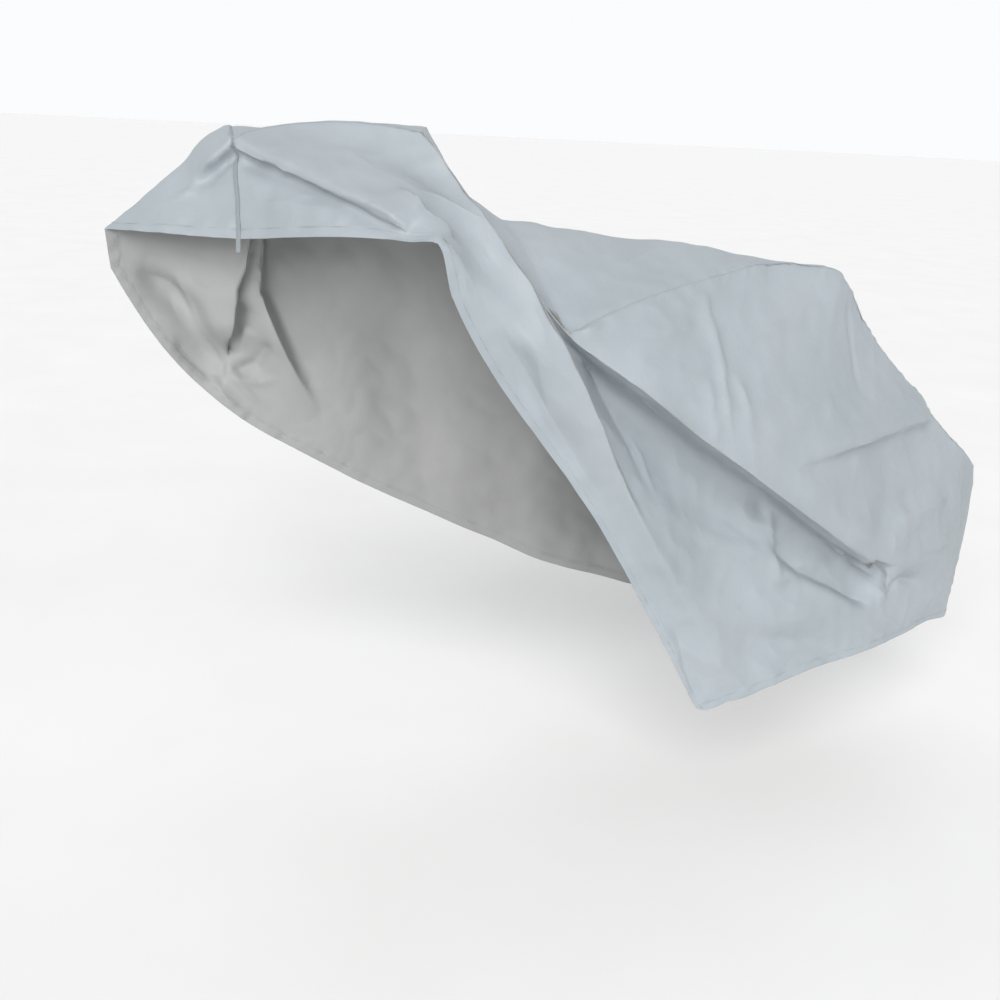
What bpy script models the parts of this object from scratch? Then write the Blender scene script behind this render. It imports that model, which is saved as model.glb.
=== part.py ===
"""Bicycle cover in coated polyester, hanging as it does in use with its front hem drawn back.

Two side panels meet in a centre seam that runs from the front hem over the top and down the rear.
A narrow binding covers the seam over the visor and the hood. Heights in the tables are measured from
the ground under the cover, x runs towards the rear, and y runs from the near side (negative) to the
far side. The part's origin is the point under the top where the cloth is carried highest at the rear.
"""

from collections import namedtuple

import bmesh
import bpy
import numpy as np

# Driving sizes, in metres
CLOTH_THICKNESS = 0.0015
SEAM_GAP = 0.0006
BINDING_WIDTH = 0.006
BINDING_THICKNESS = 0.0010
BINDING_TAIL = 0.014
BINDING_SECTIONS = 3
REST_X = 0.400
REST_HEIGHT = 0.942
SHARP_ANGLE = 0.9
NORMAL_PASSES = 1

# Linear colours of the outside of the cloth and of the tape
CLOTH_COLOUR = (0.46, 0.52, 0.55)
TAPE_COLOUR = (0.40, 0.46, 0.50)

# Grid of each panel: steps between neighbouring sections, and between neighbouring lines
STEPS_BETWEEN_SECTIONS = (2, 2, 3, 4, 3, 3, 3, 3, 3, 3, 3, 4, 4, 2)
FAR_STEPS = (7, 6, 4)
NEAR_STEPS = (3, 2, 3, 9, 9)

# Top of the cover, one row for each section from the front hem to the rear seam.
# crown is the highest line of the cloth, and seam is the line where the two panels meet.
# crease says how sharply the cloth turns at the section, from 0 to 1.
Top = namedtuple("Top", "section crown_x crown_y crown_z seam_x seam_y seam_z crease")
TOP = (
    Top("front_hem", -0.676, 0.268, 0.962, -0.504, 0.130, 0.968, 0.0),
    Top("visor", -0.588, 0.270, 1.036, -0.499, 0.160, 1.030, 0.3),
    Top("lip", -0.497, 0.250, 1.112, -0.487, 0.200, 1.094, 0.5),
    Top("hood", -0.400, 0.250, 1.112, -0.430, 0.205, 1.115, 0.2),
    Top("pleat_crest", -0.226, 0.120, 1.127, -0.246, 0.070, 1.128, 0.9),
    Top("pleat_root", -0.175, 0.120, 1.045, -0.173, -0.008, 0.999, 1.0),
    Top("gather", -0.114, 0.100, 1.004, -0.073, -0.100, 0.868, 1.0),
    Top("stay", 0.035, 0.058, 0.989, 0.061, -0.070, 0.908, 0.2),
    Top("middle", 0.185, 0.025, 0.973, 0.214, -0.030, 0.936, 0.2),
    Top("rest_front", 0.326, 0.022, 0.955, 0.326, -0.004, 0.953, 0.2),
    Top("rest_back", 0.471, 0.022, 0.935, 0.471, 0.000, 0.937, 0.6),
    Top("tail", 0.572, 0.024, 0.816, 0.572, 0.000, 0.820, 0.4),
    Top("rear", 0.712, 0.030, 0.692, 0.712, 0.000, 0.698, 0.2),
    Top("rear_edge", 0.894, 0.018, 0.552, 0.836, -0.004, 0.592, 0.9),
    Top("rear_seam", 0.857, -0.009, 0.508, 0.850, -0.007, 0.555, 0.0),
)

# Far side: the hem, and how far the cloth hangs out between hem and crown
FarSide = namedtuple("FarSide", "section hem_x hem_y hem_z belly_x belly_y crease")
FAR_SIDE = (
    FarSide("front_hem", -0.672, 0.270, 0.905, 0.000, 0.000, 0.0),
    FarSide("visor", -0.649, 0.270, 0.858, 0.000, 0.006, 0.0),
    FarSide("lip", -0.600, 0.268, 0.776, 0.000, 0.014, 0.0),
    FarSide("hood", -0.497, 0.255, 0.668, 0.000, 0.025, 0.0),
    FarSide("pleat_crest", -0.362, 0.240, 0.583, 0.000, 0.050, 0.2),
    FarSide("pleat_root", -0.295, 0.232, 0.543, 0.000, 0.055, 0.2),
    FarSide("gather", -0.225, 0.225, 0.504, 0.000, 0.055, 0.0),
    FarSide("stay", -0.060, 0.210, 0.422, 0.000, 0.060, 0.0),
    FarSide("middle", 0.100, 0.200, 0.347, 0.000, 0.060, 0.0),
    FarSide("rest_front", 0.260, 0.195, 0.290, 0.000, 0.060, 0.0),
    FarSide("rest_back", 0.430, 0.180, 0.262, 0.000, 0.060, 0.0),
    FarSide("tail", 0.600, 0.145, 0.255, 0.010, 0.055, 0.0),
    FarSide("rear", 0.760, 0.085, 0.250, 0.030, 0.035, 0.2),
    FarSide("rear_edge", 0.893, 0.014, 0.240, 0.016, 0.000, 1.0),
    FarSide("rear_seam", 0.872, -0.012, 0.240, 0.012, 0.000, 0.0),
)

# Near side, upper half. On the hood, brow is the line above the round corner of the front hem and
# lobe is that corner. Further back, brow is the crest of the long diagonal fold.
NearTop = namedtuple("NearTop", "section brow_x brow_y brow_z lobe_x lobe_y lobe_z crease")
NEAR_TOP = (
    NearTop("front_hem", -0.308, -0.064, 0.990, -0.272, -0.088, 0.990, 0.0),
    NearTop("visor", -0.302, -0.064, 0.992, -0.268, -0.086, 0.992, 0.0),
    NearTop("lip", -0.296, -0.058, 1.000, -0.260, -0.080, 0.996, 0.5),
    NearTop("hood", -0.270, -0.004, 1.052, -0.222, -0.055, 0.990, 0.2),
    NearTop("pleat_crest", -0.180, -0.038, 1.014, -0.140, -0.086, 0.950, 1.0),
    NearTop("pleat_root", -0.143, -0.046, 0.944, -0.118, -0.070, 0.900, 1.0),
    NearTop("gather", -0.069, -0.109, 0.854, -0.061, -0.101, 0.842, 1.0),
    NearTop("stay", 0.028, -0.150, 0.788, 0.043, -0.135, 0.772, 0.2),
    NearTop("middle", 0.124, -0.170, 0.716, 0.145, -0.150, 0.695, 0.2),
    NearTop("rest_front", 0.216, -0.180, 0.656, 0.242, -0.155, 0.632, 0.2),
    NearTop("rest_back", 0.362, -0.170, 0.558, 0.388, -0.147, 0.530, 0.2),
    NearTop("tail", 0.566, -0.140, 0.440, 0.580, -0.130, 0.410, 0.2),
    NearTop("rear", 0.700, -0.092, 0.430, 0.710, -0.090, 0.400, 0.2),
    NearTop("rear_edge", 0.800, -0.050, 0.440, 0.806, -0.048, 0.410, 0.2),
    NearTop("rear_seam", 0.862, -0.012, 0.470, 0.866, -0.013, 0.435, 0.0),
)

# Near side, lower half. upper is the valley under the diagonal fold, and on the band in front of it
# the line at the same height.
NearLow = namedtuple("NearLow", "section upper_x upper_y upper_z lower_x lower_y lower_z hem_x hem_y hem_z crease")
NEAR_LOW = (
    NearLow("front_hem", -0.250, -0.090, 0.918, -0.008, -0.110, 0.572, 0.196, -0.150, 0.224, 0.0),
    NearLow("visor", -0.230, -0.090, 0.914, 0.004, -0.110, 0.570, 0.212, -0.150, 0.218, 0.0),
    NearLow("lip", -0.205, -0.092, 0.910, 0.018, -0.112, 0.570, 0.228, -0.150, 0.220, 0.0),
    NearLow("hood", -0.166, -0.100, 0.900, 0.040, -0.120, 0.570, 0.256, -0.152, 0.228, 0.0),
    NearLow("pleat_crest", -0.102, -0.118, 0.878, 0.062, -0.132, 0.574, 0.280, -0.156, 0.232, 1.0),
    NearLow("pleat_root", -0.088, -0.088, 0.848, 0.074, -0.124, 0.570, 0.292, -0.156, 0.234, 1.0),
    NearLow("gather", -0.048, -0.086, 0.828, 0.112, -0.108, 0.568, 0.312, -0.156, 0.240, 1.0),
    NearLow("stay", 0.060, -0.096, 0.756, 0.192, -0.112, 0.512, 0.364, -0.160, 0.256, 0.2),
    NearLow("middle", 0.172, -0.100, 0.672, 0.272, -0.117, 0.478, 0.420, -0.160, 0.268, 0.2),
    NearLow("rest_front", 0.278, -0.102, 0.600, 0.356, -0.122, 0.448, 0.484, -0.156, 0.274, 0.2),
    NearLow("rest_back", 0.430, -0.104, 0.492, 0.466, -0.128, 0.404, 0.572, -0.136, 0.276, 0.2),
    NearLow("tail", 0.604, -0.110, 0.374, 0.628, -0.108, 0.338, 0.684, -0.100, 0.272, 0.2),
    NearLow("rear", 0.722, -0.086, 0.368, 0.745, -0.080, 0.320, 0.780, -0.060, 0.264, 0.0),
    NearLow("rear_edge", 0.812, -0.047, 0.370, 0.825, -0.042, 0.310, 0.835, -0.034, 0.250, 0.0),
    NearLow("rear_seam", 0.868, -0.012, 0.400, 0.872, -0.012, 0.310, 0.872, -0.012, 0.238, 0.0),
)

# The centre seam down the rear, from the top corner to the hem
RearSeam = namedtuple("RearSeam", "x y z")
REAR_SEAM = (
    RearSeam(0.850, -0.007, 0.555),
    RearSeam(0.862, -0.010, 0.470),
    RearSeam(0.870, -0.012, 0.380),
    RearSeam(0.873, -0.012, 0.300),
    RearSeam(0.872, -0.012, 0.238),
)

# How crisp the cloth turns at each line across a section: 0 is a smooth curve, 1 a sharp crease
FAR_TURN = (0.0, 0.0, 0.3, 0.3)
NEAR_TURN = (0.3, 0.7, 0.3, 0.6, 0.2, 0.0)

# Main folds, one row each: the path of the crest, its height towards the outside (negative folds
# stand inwards), and the width of the slope on either side as seen along the path from outside.
# A narrow slope is a crisp edge. from_start and to_end say how far the fold takes to rise and fade,
# as a share of its path.
Fold = namedtuple("Fold", "name path height left right from_start to_end")
FOLDS = (
    Fold("lip", ((-0.490, 0.200, 1.094), (-0.412, 0.102, 1.063), (-0.303, -0.052, 1.000)),
         0.012, 0.060, 0.012, 0.02, 0.02),
    Fold("left_lip", ((-0.490, 0.200, 1.094), (-0.533, 0.215, 1.057), (-0.568, 0.232, 1.036)),
         0.010, 0.014, 0.040, 0.02, 0.60),
    Fold("visor_dent", ((-0.505, 0.205, 1.065), (-0.548, 0.220, 1.035)), -0.012, 0.018, 0.014, 0.3, 0.5),
    Fold("rear_crease", ((0.300, -0.163, 0.651), (0.402, -0.132, 0.658), (0.541, -0.077, 0.663),
                         (0.747, -0.002, 0.664)), 0.014, 0.080, 0.014, 0.15, 0.20),
    Fold("tail_tuck", ((0.559, -0.126, 0.500), (0.650, -0.090, 0.512), (0.790, -0.030, 0.525)),
         0.010, 0.022, 0.030, 0.3, 0.3),
    Fold("tail_pinch", ((0.520, -0.150, 0.440), (0.606, -0.121, 0.391)), -0.016, 0.020, 0.026, 0.3, 0.4),
    Fold("low_hollow", ((0.228, -0.146, 0.340), (0.371, -0.152, 0.311), (0.540, -0.149, 0.290)),
         -0.012, 0.035, 0.035, 0.3, 0.3),
    Fold("front_pleat", ((-0.466, 0.269, 0.960), (-0.480, 0.269, 0.914), (-0.500, 0.270, 0.868),
                         (-0.468, 0.264, 0.812)), -0.045, 0.010, 0.110, 0.01, 0.25),
    Fold("second_pleat", ((-0.436, 0.263, 0.960), (-0.438, 0.262, 0.806), (-0.343, 0.242, 0.740),
                          (-0.250, 0.240, 0.660)), -0.035, 0.012, 0.050, 0.01, 0.40),
    Fold("front_drape", ((-0.640, 0.270, 0.905), (-0.567, 0.273, 0.839), (-0.540, 0.265, 0.775),
                         (-0.517, 0.259, 0.718)), 0.014, 0.025, 0.020, 0.3, 0.3),
    Fold("far_drape_1", ((-0.230, 0.200, 1.000), (-0.180, 0.280, 0.500)), 0.022, 0.060, 0.045, 0.4, 0.01),
    Fold("far_drape_2", ((0.020, 0.150, 0.930), (0.040, 0.250, 0.380)), -0.020, 0.050, 0.060, 0.4, 0.01),
    Fold("far_drape_3", ((0.180, 0.140, 0.900), (0.190, 0.250, 0.310)), 0.024, 0.055, 0.045, 0.4, 0.01),
    Fold("far_drape_4", ((0.400, 0.100, 0.880), (0.370, 0.230, 0.270)), -0.020, 0.050, 0.050, 0.4, 0.01),
    Fold("far_drape_5", ((0.460, 0.080, 0.880), (0.600, 0.190, 0.255)), 0.022, 0.060, 0.040, 0.3, 0.01),
)


def tangents(knots, points, turn):
    """Slopes of the curve on the left and on the right of each knot."""
    slopes = (points[1:] - points[:-1]) / (knots[1:] - knots[:-1])[:, None]
    before = np.concatenate([slopes[:1], slopes])
    after = np.concatenate([slopes, slopes[-1:]])
    gap_before = np.concatenate([[1.0], knots[1:] - knots[:-1]])[:, None]
    gap_after = np.concatenate([knots[1:] - knots[:-1], [1.0]])[:, None]
    smooth = (before * gap_after + after * gap_before) / (gap_before + gap_after)
    turn = np.asarray(turn)[:, None]
    return smooth + turn * (before - smooth), smooth + turn * (after - smooth)


def curve(points, steps, turn):
    """A curve through the points, with the given number of steps in each stretch."""
    points = np.asarray(points, float)
    lengths = np.linalg.norm(np.diff(points, axis=0), axis=1)
    knots = np.concatenate([[0.0], np.cumsum(np.maximum(lengths, 1e-4))])
    before, after = tangents(knots, points, turn)
    found = []
    for i, count in enumerate(steps):
        span = knots[i + 1] - knots[i]
        t = (np.arange(count) / count)[:, None]
        found.append(
            (2 * t**3 - 3 * t**2 + 1) * points[i]
            + (t**3 - 2 * t**2 + t) * span * after[i]
            + (3 * t**2 - 2 * t**3) * points[i + 1]
            + (t**3 - t**2) * span * before[i + 1]
        )
    return np.concatenate(found + [points[-1:]])


def place(point):
    """From the tables' ground frame to the part's own frame."""
    return np.asarray(point) - (REST_X, 0.0, REST_HEIGHT)


def column(table, name):
    """One line of the cloth from a table, as points, with its crease at each section."""
    points = np.array([[getattr(row, f"{name}_{axis}") for axis in "xyz"] for row in table])
    return points, np.array([row.crease for row in table])


def far_lines():
    hem, crease = column(FAR_SIDE, "hem")
    crown = column(TOP, "crown")
    belly = np.array([(row.belly_x, row.belly_y, 0.0) for row in FAR_SIDE])
    return [(hem, crease), ((hem + crown[0]) / 2 + belly, crease), crown, column(TOP, "seam")]


def near_lines():
    upper_half = [column(TOP, "seam"), column(NEAR_TOP, "brow"), column(NEAR_TOP, "lobe")]
    return upper_half + [column(NEAR_LOW, name) for name in ("upper", "lower", "hem")]


def panel_grid(lines, steps, turn):
    """Points of a panel as [section][line], from its lines and the steps between them."""
    along = [curve(points, STEPS_BETWEEN_SECTIONS, crease) for points, crease in lines]
    rows = [curve([line[i] for line in along], steps, turn) for i in range(len(along[0]))]
    return np.array(rows)


def unit(vectors):
    return vectors / np.maximum(np.linalg.norm(vectors, axis=-1, keepdims=True), 1e-9)


def normals(grid):
    """Unit normals of a grid of points, pointing to the outside of the cover, evened out a little
    so that the sheet keeps its thickness round sharp folds."""
    n = unit(np.cross(np.gradient(grid, axis=1), np.gradient(grid, axis=0)))
    for _ in range(NORMAL_PASSES):
        wide = np.pad(n, ((1, 1), (1, 1), (0, 0)), mode="edge")
        n = unit(2 * n + wide[2:, 1:-1] + wide[:-2, 1:-1] + wide[1:-1, 2:] + wide[1:-1, :-2])
    return n


def nearest_on_path(grid, path):
    """For each point: the way to it from the nearest place on the path, the path's direction there,
    and how far along the path that place is, from 0 to 1."""
    path = np.array(path)
    runs = path[1:] - path[:-1]
    lengths = np.linalg.norm(runs, axis=1)
    best = np.full(grid.shape[:2], np.inf)
    off = np.zeros(grid.shape)
    direction = np.zeros(grid.shape)
    share = np.zeros(grid.shape[:2])
    for i, run in enumerate(runs):
        along = np.clip(((grid - path[i]) @ run) / lengths[i] ** 2, 0.0, 1.0)
        way = grid - (path[i] + along[..., None] * run)
        distance = np.linalg.norm(way, axis=2)
        closer = distance < best
        best = np.where(closer, distance, best)
        off[closer] = way[closer]
        direction[closer] = run / lengths[i]
        share[closer] = ((lengths[:i].sum() + along * lengths[i]) / lengths.sum())[closer]
    return off, direction, share


def fold_heights(grid, n):
    """How far each point stands out of the plain drape, from the table of folds."""
    total = np.zeros(grid.shape[:2])
    for fold in FOLDS:
        off, direction, share = nearest_on_path(grid, fold.path)
        leftwards = (np.cross(n, direction) * off).sum(axis=2)
        width = np.where(leftwards > 0, fold.left, fold.right)
        rise = np.clip(share / fold.from_start, 0.0, 1.0)
        fall = np.clip((1.0 - share) / fold.to_end, 0.0, 1.0)
        fade = rise * rise * (3 - 2 * rise) * fall * fall * (3 - 2 * fall)
        total += fold.height * fade * np.exp(-(off**2).sum(axis=2) / width**2)
    return total


def rear_seam_line(steps):
    """The rear seam as a smooth run of points, from the top corner down."""
    return curve(REAR_SEAM, [steps] * (len(REAR_SEAM) - 1), [0.0] * len(REAR_SEAM))


def by_height(heights, line, values):
    """Values of a line of points that runs up or down, read off at other heights."""
    order = np.argsort(line[:, 2])
    return np.stack([np.interp(heights, line[order, 2], values[order, k]) for k in range(3)], axis=1)


def close_rear(grid):
    """Both panels end on the same line down the rear, so their last rows are laid on it by height."""
    line = rear_seam_line(12)[::-1]
    height = grid[-1, :, 2]
    below_top = height <= line[-1, 2]
    for axis in (0, 1):
        grid[-1, below_top, axis] = np.interp(height[below_top], line[:, 2], line[:, axis])


def part_edge(edge, inside, beyond):
    """An edge moved half the seam's gap, square to itself, away from the panel beyond it. inside and
    beyond are the nearest lines of its own panel and of the other."""
    run = unit(np.gradient(edge, axis=0))
    across = unit(inside - edge) - unit(beyond - edge)
    square = across - (across * run).sum(axis=1, keepdims=True) * run
    return edge + SEAM_GAP / 2 * unit(square)


def make_panels():
    """Grids and normals of the two panels, parted by the seam's gap."""
    far = panel_grid(far_lines(), FAR_STEPS, FAR_TURN)
    near = panel_grid(near_lines(), NEAR_STEPS, NEAR_TURN)
    close_rear(far)
    close_rear(near)
    far_n = normals(far)
    near_n = normals(near)
    corner_n = unit(far_n[-4, -2] + near_n[-4, 1])
    far_n[-2:, -2:] = corner_n
    near_n[-2:, :2] = corner_n
    top_n = unit(far_n[:, -1] + near_n[:, 0])
    far_rear_n = unit(far_n[-1] + by_height(far[-1, :, 2], near[-1], near_n[-1]))
    near_rear_n = unit(near_n[-1] + by_height(near[-1, :, 2], far[-1], far_n[-1]))
    far_n[:, -1] = top_n
    near_n[:, 0] = top_n
    far_n[-1] = far_rear_n
    near_n[-1] = near_rear_n
    far = far + fold_heights(far, far_n)[..., None] * far_n
    near = near + fold_heights(near, near_n)[..., None] * near_n
    seam = near[:, 0].copy()
    far_rear, near_rear = far[-1].copy(), near[-1].copy()
    far[:, -1] = part_edge(seam, far[:, -2], near[:, 1])
    near[:, 0] = part_edge(seam, near[:, 1], far[:, -2])
    far[-1] = part_edge(far_rear, far[-2], by_height(far_rear[:, 2], near_rear, near[-2]))
    near[-1] = part_edge(near_rear, near[-2], by_height(near_rear[:, 2], far_rear, far[-2]))
    return far, far_n, near, near_n


def thick_sheet(name, grid, n, material):
    """A closed sheet of the cloth's thickness around a grid of points."""
    rows, columns = grid.shape[:2]
    bm = bmesh.new()
    layers = []
    for side in (0.5, -0.5):
        moved = place(grid + side * CLOTH_THICKNESS * n)
        layers.append([[bm.verts.new(p) for p in row] for row in moved])
    outer, inner = layers
    for i in range(rows - 1):
        for j in range(columns - 1):
            bm.faces.new((outer[i][j], outer[i][j + 1], outer[i + 1][j + 1], outer[i + 1][j]))
            bm.faces.new((inner[i][j], inner[i + 1][j], inner[i + 1][j + 1], inner[i][j + 1]))
    rim = [(i, 0) for i in range(rows)] + [(rows - 1, j) for j in range(1, columns)]
    rim += [(i, columns - 1) for i in range(rows - 2, -1, -1)] + [(0, j) for j in range(columns - 2, 0, -1)]
    for (a, b), (c, d) in zip(rim, rim[1:] + rim[:1]):
        bm.faces.new((outer[a][b], outer[c][d], inner[c][d], inner[a][b]))
    return finish_mesh(name, bm, material)


def finish_mesh(name, bm, material):
    bmesh.ops.recalc_face_normals(bm, faces=bm.faces)
    mesh = bpy.data.meshes.new(name)
    bm.to_mesh(mesh)
    bm.free()
    mesh.shade_smooth()
    mesh.set_sharp_from_angle(angle=SHARP_ANGLE)
    mesh.materials.append(material)
    obj = bpy.data.objects.new(name, mesh)
    bpy.context.scene.collection.objects.link(obj)
    return obj


def binding(name, points, n, rise, material):
    """A flat strip lying on the seam over the visor and hood, with a loose tail past the front hem."""
    run = unit(np.gradient(points, axis=0))
    tail = points[0] - run[0] * np.array([[BINDING_TAIL], [BINDING_TAIL / 2]])
    points = np.concatenate([tail, points])
    n = np.concatenate([n[:1], n[:1], n])
    run = np.concatenate([run[:1], run[:1], run])
    rise = np.concatenate([rise[:1], rise[:1], rise])
    side = unit(np.cross(n, run)) * BINDING_WIDTH / 2
    low = points + n * (CLOTH_THICKNESS / 2 + SEAM_GAP + rise)[:, None]
    high = low + n * BINDING_THICKNESS
    bm = bmesh.new()
    rings = []
    for corners in zip(place(low - side), place(low + side), place(high + side), place(high - side)):
        rings.append([bm.verts.new(p) for p in corners])
    for ring, following in zip(rings, rings[1:]):
        for k in range(4):
            bm.faces.new((ring[k], ring[(k + 1) % 4], following[(k + 1) % 4], following[k]))
    bm.faces.new(rings[0])
    bm.faces.new(rings[-1])
    return finish_mesh(name, bm, material)


def binding_rise(points, n, neighbours):
    """How far the strip has to stand off so that its sides clear cloth that rises beside the seam."""
    run = unit(np.gradient(points, axis=0))
    rise = np.zeros(len(points))
    for beside in neighbours:
        way = beside - points
        across = way - (way * run).sum(axis=1, keepdims=True) * run
        climb = (across * n).sum(axis=1)
        level = np.sqrt(np.maximum((across**2).sum(axis=1) - climb**2, 1e-8))
        rise = np.maximum(rise, climb / level * BINDING_WIDTH / 2)
    bend = 1.0 - (unit(np.diff(points, axis=0))[1:] * unit(np.diff(points, axis=0))[:-1]).sum(axis=1)
    rise[1:-1] += bend * BINDING_WIDTH / 2
    return np.minimum(rise, BINDING_WIDTH)


def plain_material(name, colour, roughness):
    material = bpy.data.materials.new(name)
    material.use_nodes = True
    shader = material.node_tree.nodes["Principled BSDF"]
    shader.inputs["Base Color"].default_value = (*colour, 1.0)
    shader.inputs["Roughness"].default_value = roughness
    shader.inputs["Metallic"].default_value = 0.0
    material.diffuse_color = (*colour, 1.0)
    return material


def clear_scene():
    for obj in list(bpy.data.objects):
        bpy.data.objects.remove(obj)


def main():
    clear_scene()
    cloth = plain_material("coated_polyester", CLOTH_COLOUR, 0.55)
    tape = plain_material("binding_tape", TAPE_COLOUR, 0.60)
    far, far_n, near, near_n = make_panels()
    thick_sheet("far_panel", far, far_n, cloth)
    thick_sheet("near_panel", near, near_n, cloth)
    bound = slice(0, sum(STEPS_BETWEEN_SECTIONS[:BINDING_SECTIONS]) + 1)
    rise = binding_rise(near[bound, 0], near_n[bound, 0], (near[bound, 1], far[bound, -2]))
    binding("seam_binding", near[bound, 0], near_n[bound, 0], rise, tape)


main()
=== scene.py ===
"""Bicycle cover in silver-grey coated polyester, hanging as it does in use with its front hem drawn back.

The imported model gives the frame. Each side panel is made again here from the same lines, on a finer
grid, with its folds, pressed creases, hems, seams and stitching.
"""

import math
from collections import namedtuple

import bmesh
import bpy
import numpy as np
from mathutils import Matrix, Vector


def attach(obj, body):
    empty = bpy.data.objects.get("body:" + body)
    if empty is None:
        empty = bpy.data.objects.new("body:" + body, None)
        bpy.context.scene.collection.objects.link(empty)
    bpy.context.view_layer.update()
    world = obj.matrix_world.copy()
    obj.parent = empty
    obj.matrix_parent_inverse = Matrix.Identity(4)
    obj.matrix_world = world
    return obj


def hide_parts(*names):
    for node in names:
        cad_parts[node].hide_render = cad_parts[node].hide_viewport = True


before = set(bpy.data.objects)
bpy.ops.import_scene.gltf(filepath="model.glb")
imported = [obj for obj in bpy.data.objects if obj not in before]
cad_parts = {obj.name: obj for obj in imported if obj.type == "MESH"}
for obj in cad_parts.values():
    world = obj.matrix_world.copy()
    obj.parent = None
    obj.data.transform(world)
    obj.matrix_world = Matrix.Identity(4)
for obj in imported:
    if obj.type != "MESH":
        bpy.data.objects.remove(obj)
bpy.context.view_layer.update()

# Sizes in metres. The tables below stand on the ground, and the part's origin is this place in them.
REST_X = 0.400
REST_HEIGHT = 0.942
CLOTH_THICKNESS = 0.0003
# Turned hem: its second layer, the groove of its stitching, and the puckers that the thread draws in
HEM_WIDTH = 0.0178
HEM_LAYER = 0.0007
HEM_STEP = 0.0016
HEM_STITCH_AT = 0.0145
STITCH_GROOVE = 0.0004
STITCH_GROOVE_WIDTH = 0.0016
PUCKER_LENGTH = 0.026
PUCKER_HEIGHT = 0.0007
PUCKER_REACH = 0.010
# Overlocked seam between the panels: where it starts along the top, and the height at which it starts
# again down the rear
SEAM_GAP = 0.0002
SEAM_START = 0.40
SEAM_REAR_TOP = 0.60
SEAM_EASE = 0.05
SEAM_GROOVE = 0.0016
SEAM_GROOVE_WIDTH = 0.003
SEAM_PUCKER_LENGTH = 0.021
SEAM_PUCKER_HEIGHT = 0.0012
SEAM_PUCKER_REACH = 0.014
# Binding tape over the front of the seam, along this many sections
TAPE_SECTIONS = 2
TAPE_WIDTH = 0.007
TAPE_THICKNESS = 0.0011
TAPE_LIFT = 0.0003
TAPE_TAIL = 0.018
TAPE_DROOP = 0.003
# Stitching
THREAD_RADIUS = 0.00035
THREAD_SIDES = 6
STITCH_LENGTH = 0.0034
STITCH_PITCH = 0.0046
OVERLOCK_PITCH = 0.0042
OVERLOCK_REACH = 0.0026
OVERLOCK_SLANT = 0.35
# Edges sharper than this, in radians, are shaded as edges
CLOTH_SHARP = 1.1
TAPE_SHARP = 0.9

# Rows of the cloth at a free hem, by their distance from its edge
HEM_ROWS = np.array([0.0, 0.0010, 0.0040, 0.0085, 0.0125, 0.0145, 0.0165, 0.0178, 0.0190, 0.0225])

# Grid of each panel: steps between neighbouring sections, and between neighbouring lines
FAR_ROW_STEPS = (12, 24, 40, 46, 12, 12, 18, 18, 18, 18, 16, 16, 16, 6)
NEAR_ROW_STEPS = (12, 22, 24, 30, 14, 12, 18, 24, 22, 22, 28, 28, 22, 6)
FAR_STEPS = (66, 54, 28)
NEAR_STEPS = (44, 12, 14, 40, 50)
# Sections by their place in the tables
LIP, HOOD, PLEAT_CREST, PLEAT_ROOT = 2, 3, 4, 5

# Top of the cover, one row for each section from the front hem to the rear seam.
# crown is the highest line of the cloth, and seam is the line where the two panels meet.
# crease says how sharply the cloth turns at the section, from 0 to 1.
Top = namedtuple("Top", "section crown_x crown_y crown_z seam_x seam_y seam_z crease")
TOP = (
    Top("front_hem", -0.676, 0.268, 0.962, -0.504, 0.130, 0.968, 0.0),
    Top("visor", -0.588, 0.270, 1.036, -0.499, 0.160, 1.030, 0.3),
    Top("lip", -0.497, 0.250, 1.112, -0.487, 0.200, 1.094, 0.5),
    Top("hood", -0.400, 0.250, 1.112, -0.430, 0.205, 1.115, 0.2),
    Top("pleat_crest", -0.226, 0.120, 1.127, -0.246, 0.070, 1.128, 0.9),
    Top("pleat_root", -0.175, 0.120, 1.045, -0.173, -0.008, 0.999, 1.0),
    Top("gather", -0.114, 0.100, 1.004, -0.073, -0.100, 0.868, 1.0),
    Top("stay", 0.035, 0.058, 0.989, 0.061, -0.070, 0.908, 0.2),
    Top("middle", 0.185, 0.025, 0.973, 0.214, -0.030, 0.936, 0.2),
    Top("rest_front", 0.326, 0.022, 0.955, 0.326, -0.004, 0.953, 0.2),
    Top("rest_back", 0.471, 0.022, 0.935, 0.471, 0.000, 0.937, 0.6),
    Top("tail", 0.572, 0.024, 0.816, 0.572, 0.000, 0.820, 0.4),
    Top("rear", 0.712, 0.030, 0.692, 0.712, 0.000, 0.698, 0.2),
    Top("rear_edge", 0.894, 0.018, 0.552, 0.836, -0.004, 0.592, 0.9),
    Top("rear_seam", 0.857, -0.009, 0.508, 0.850, -0.007, 0.555, 0.0),
)

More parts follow.
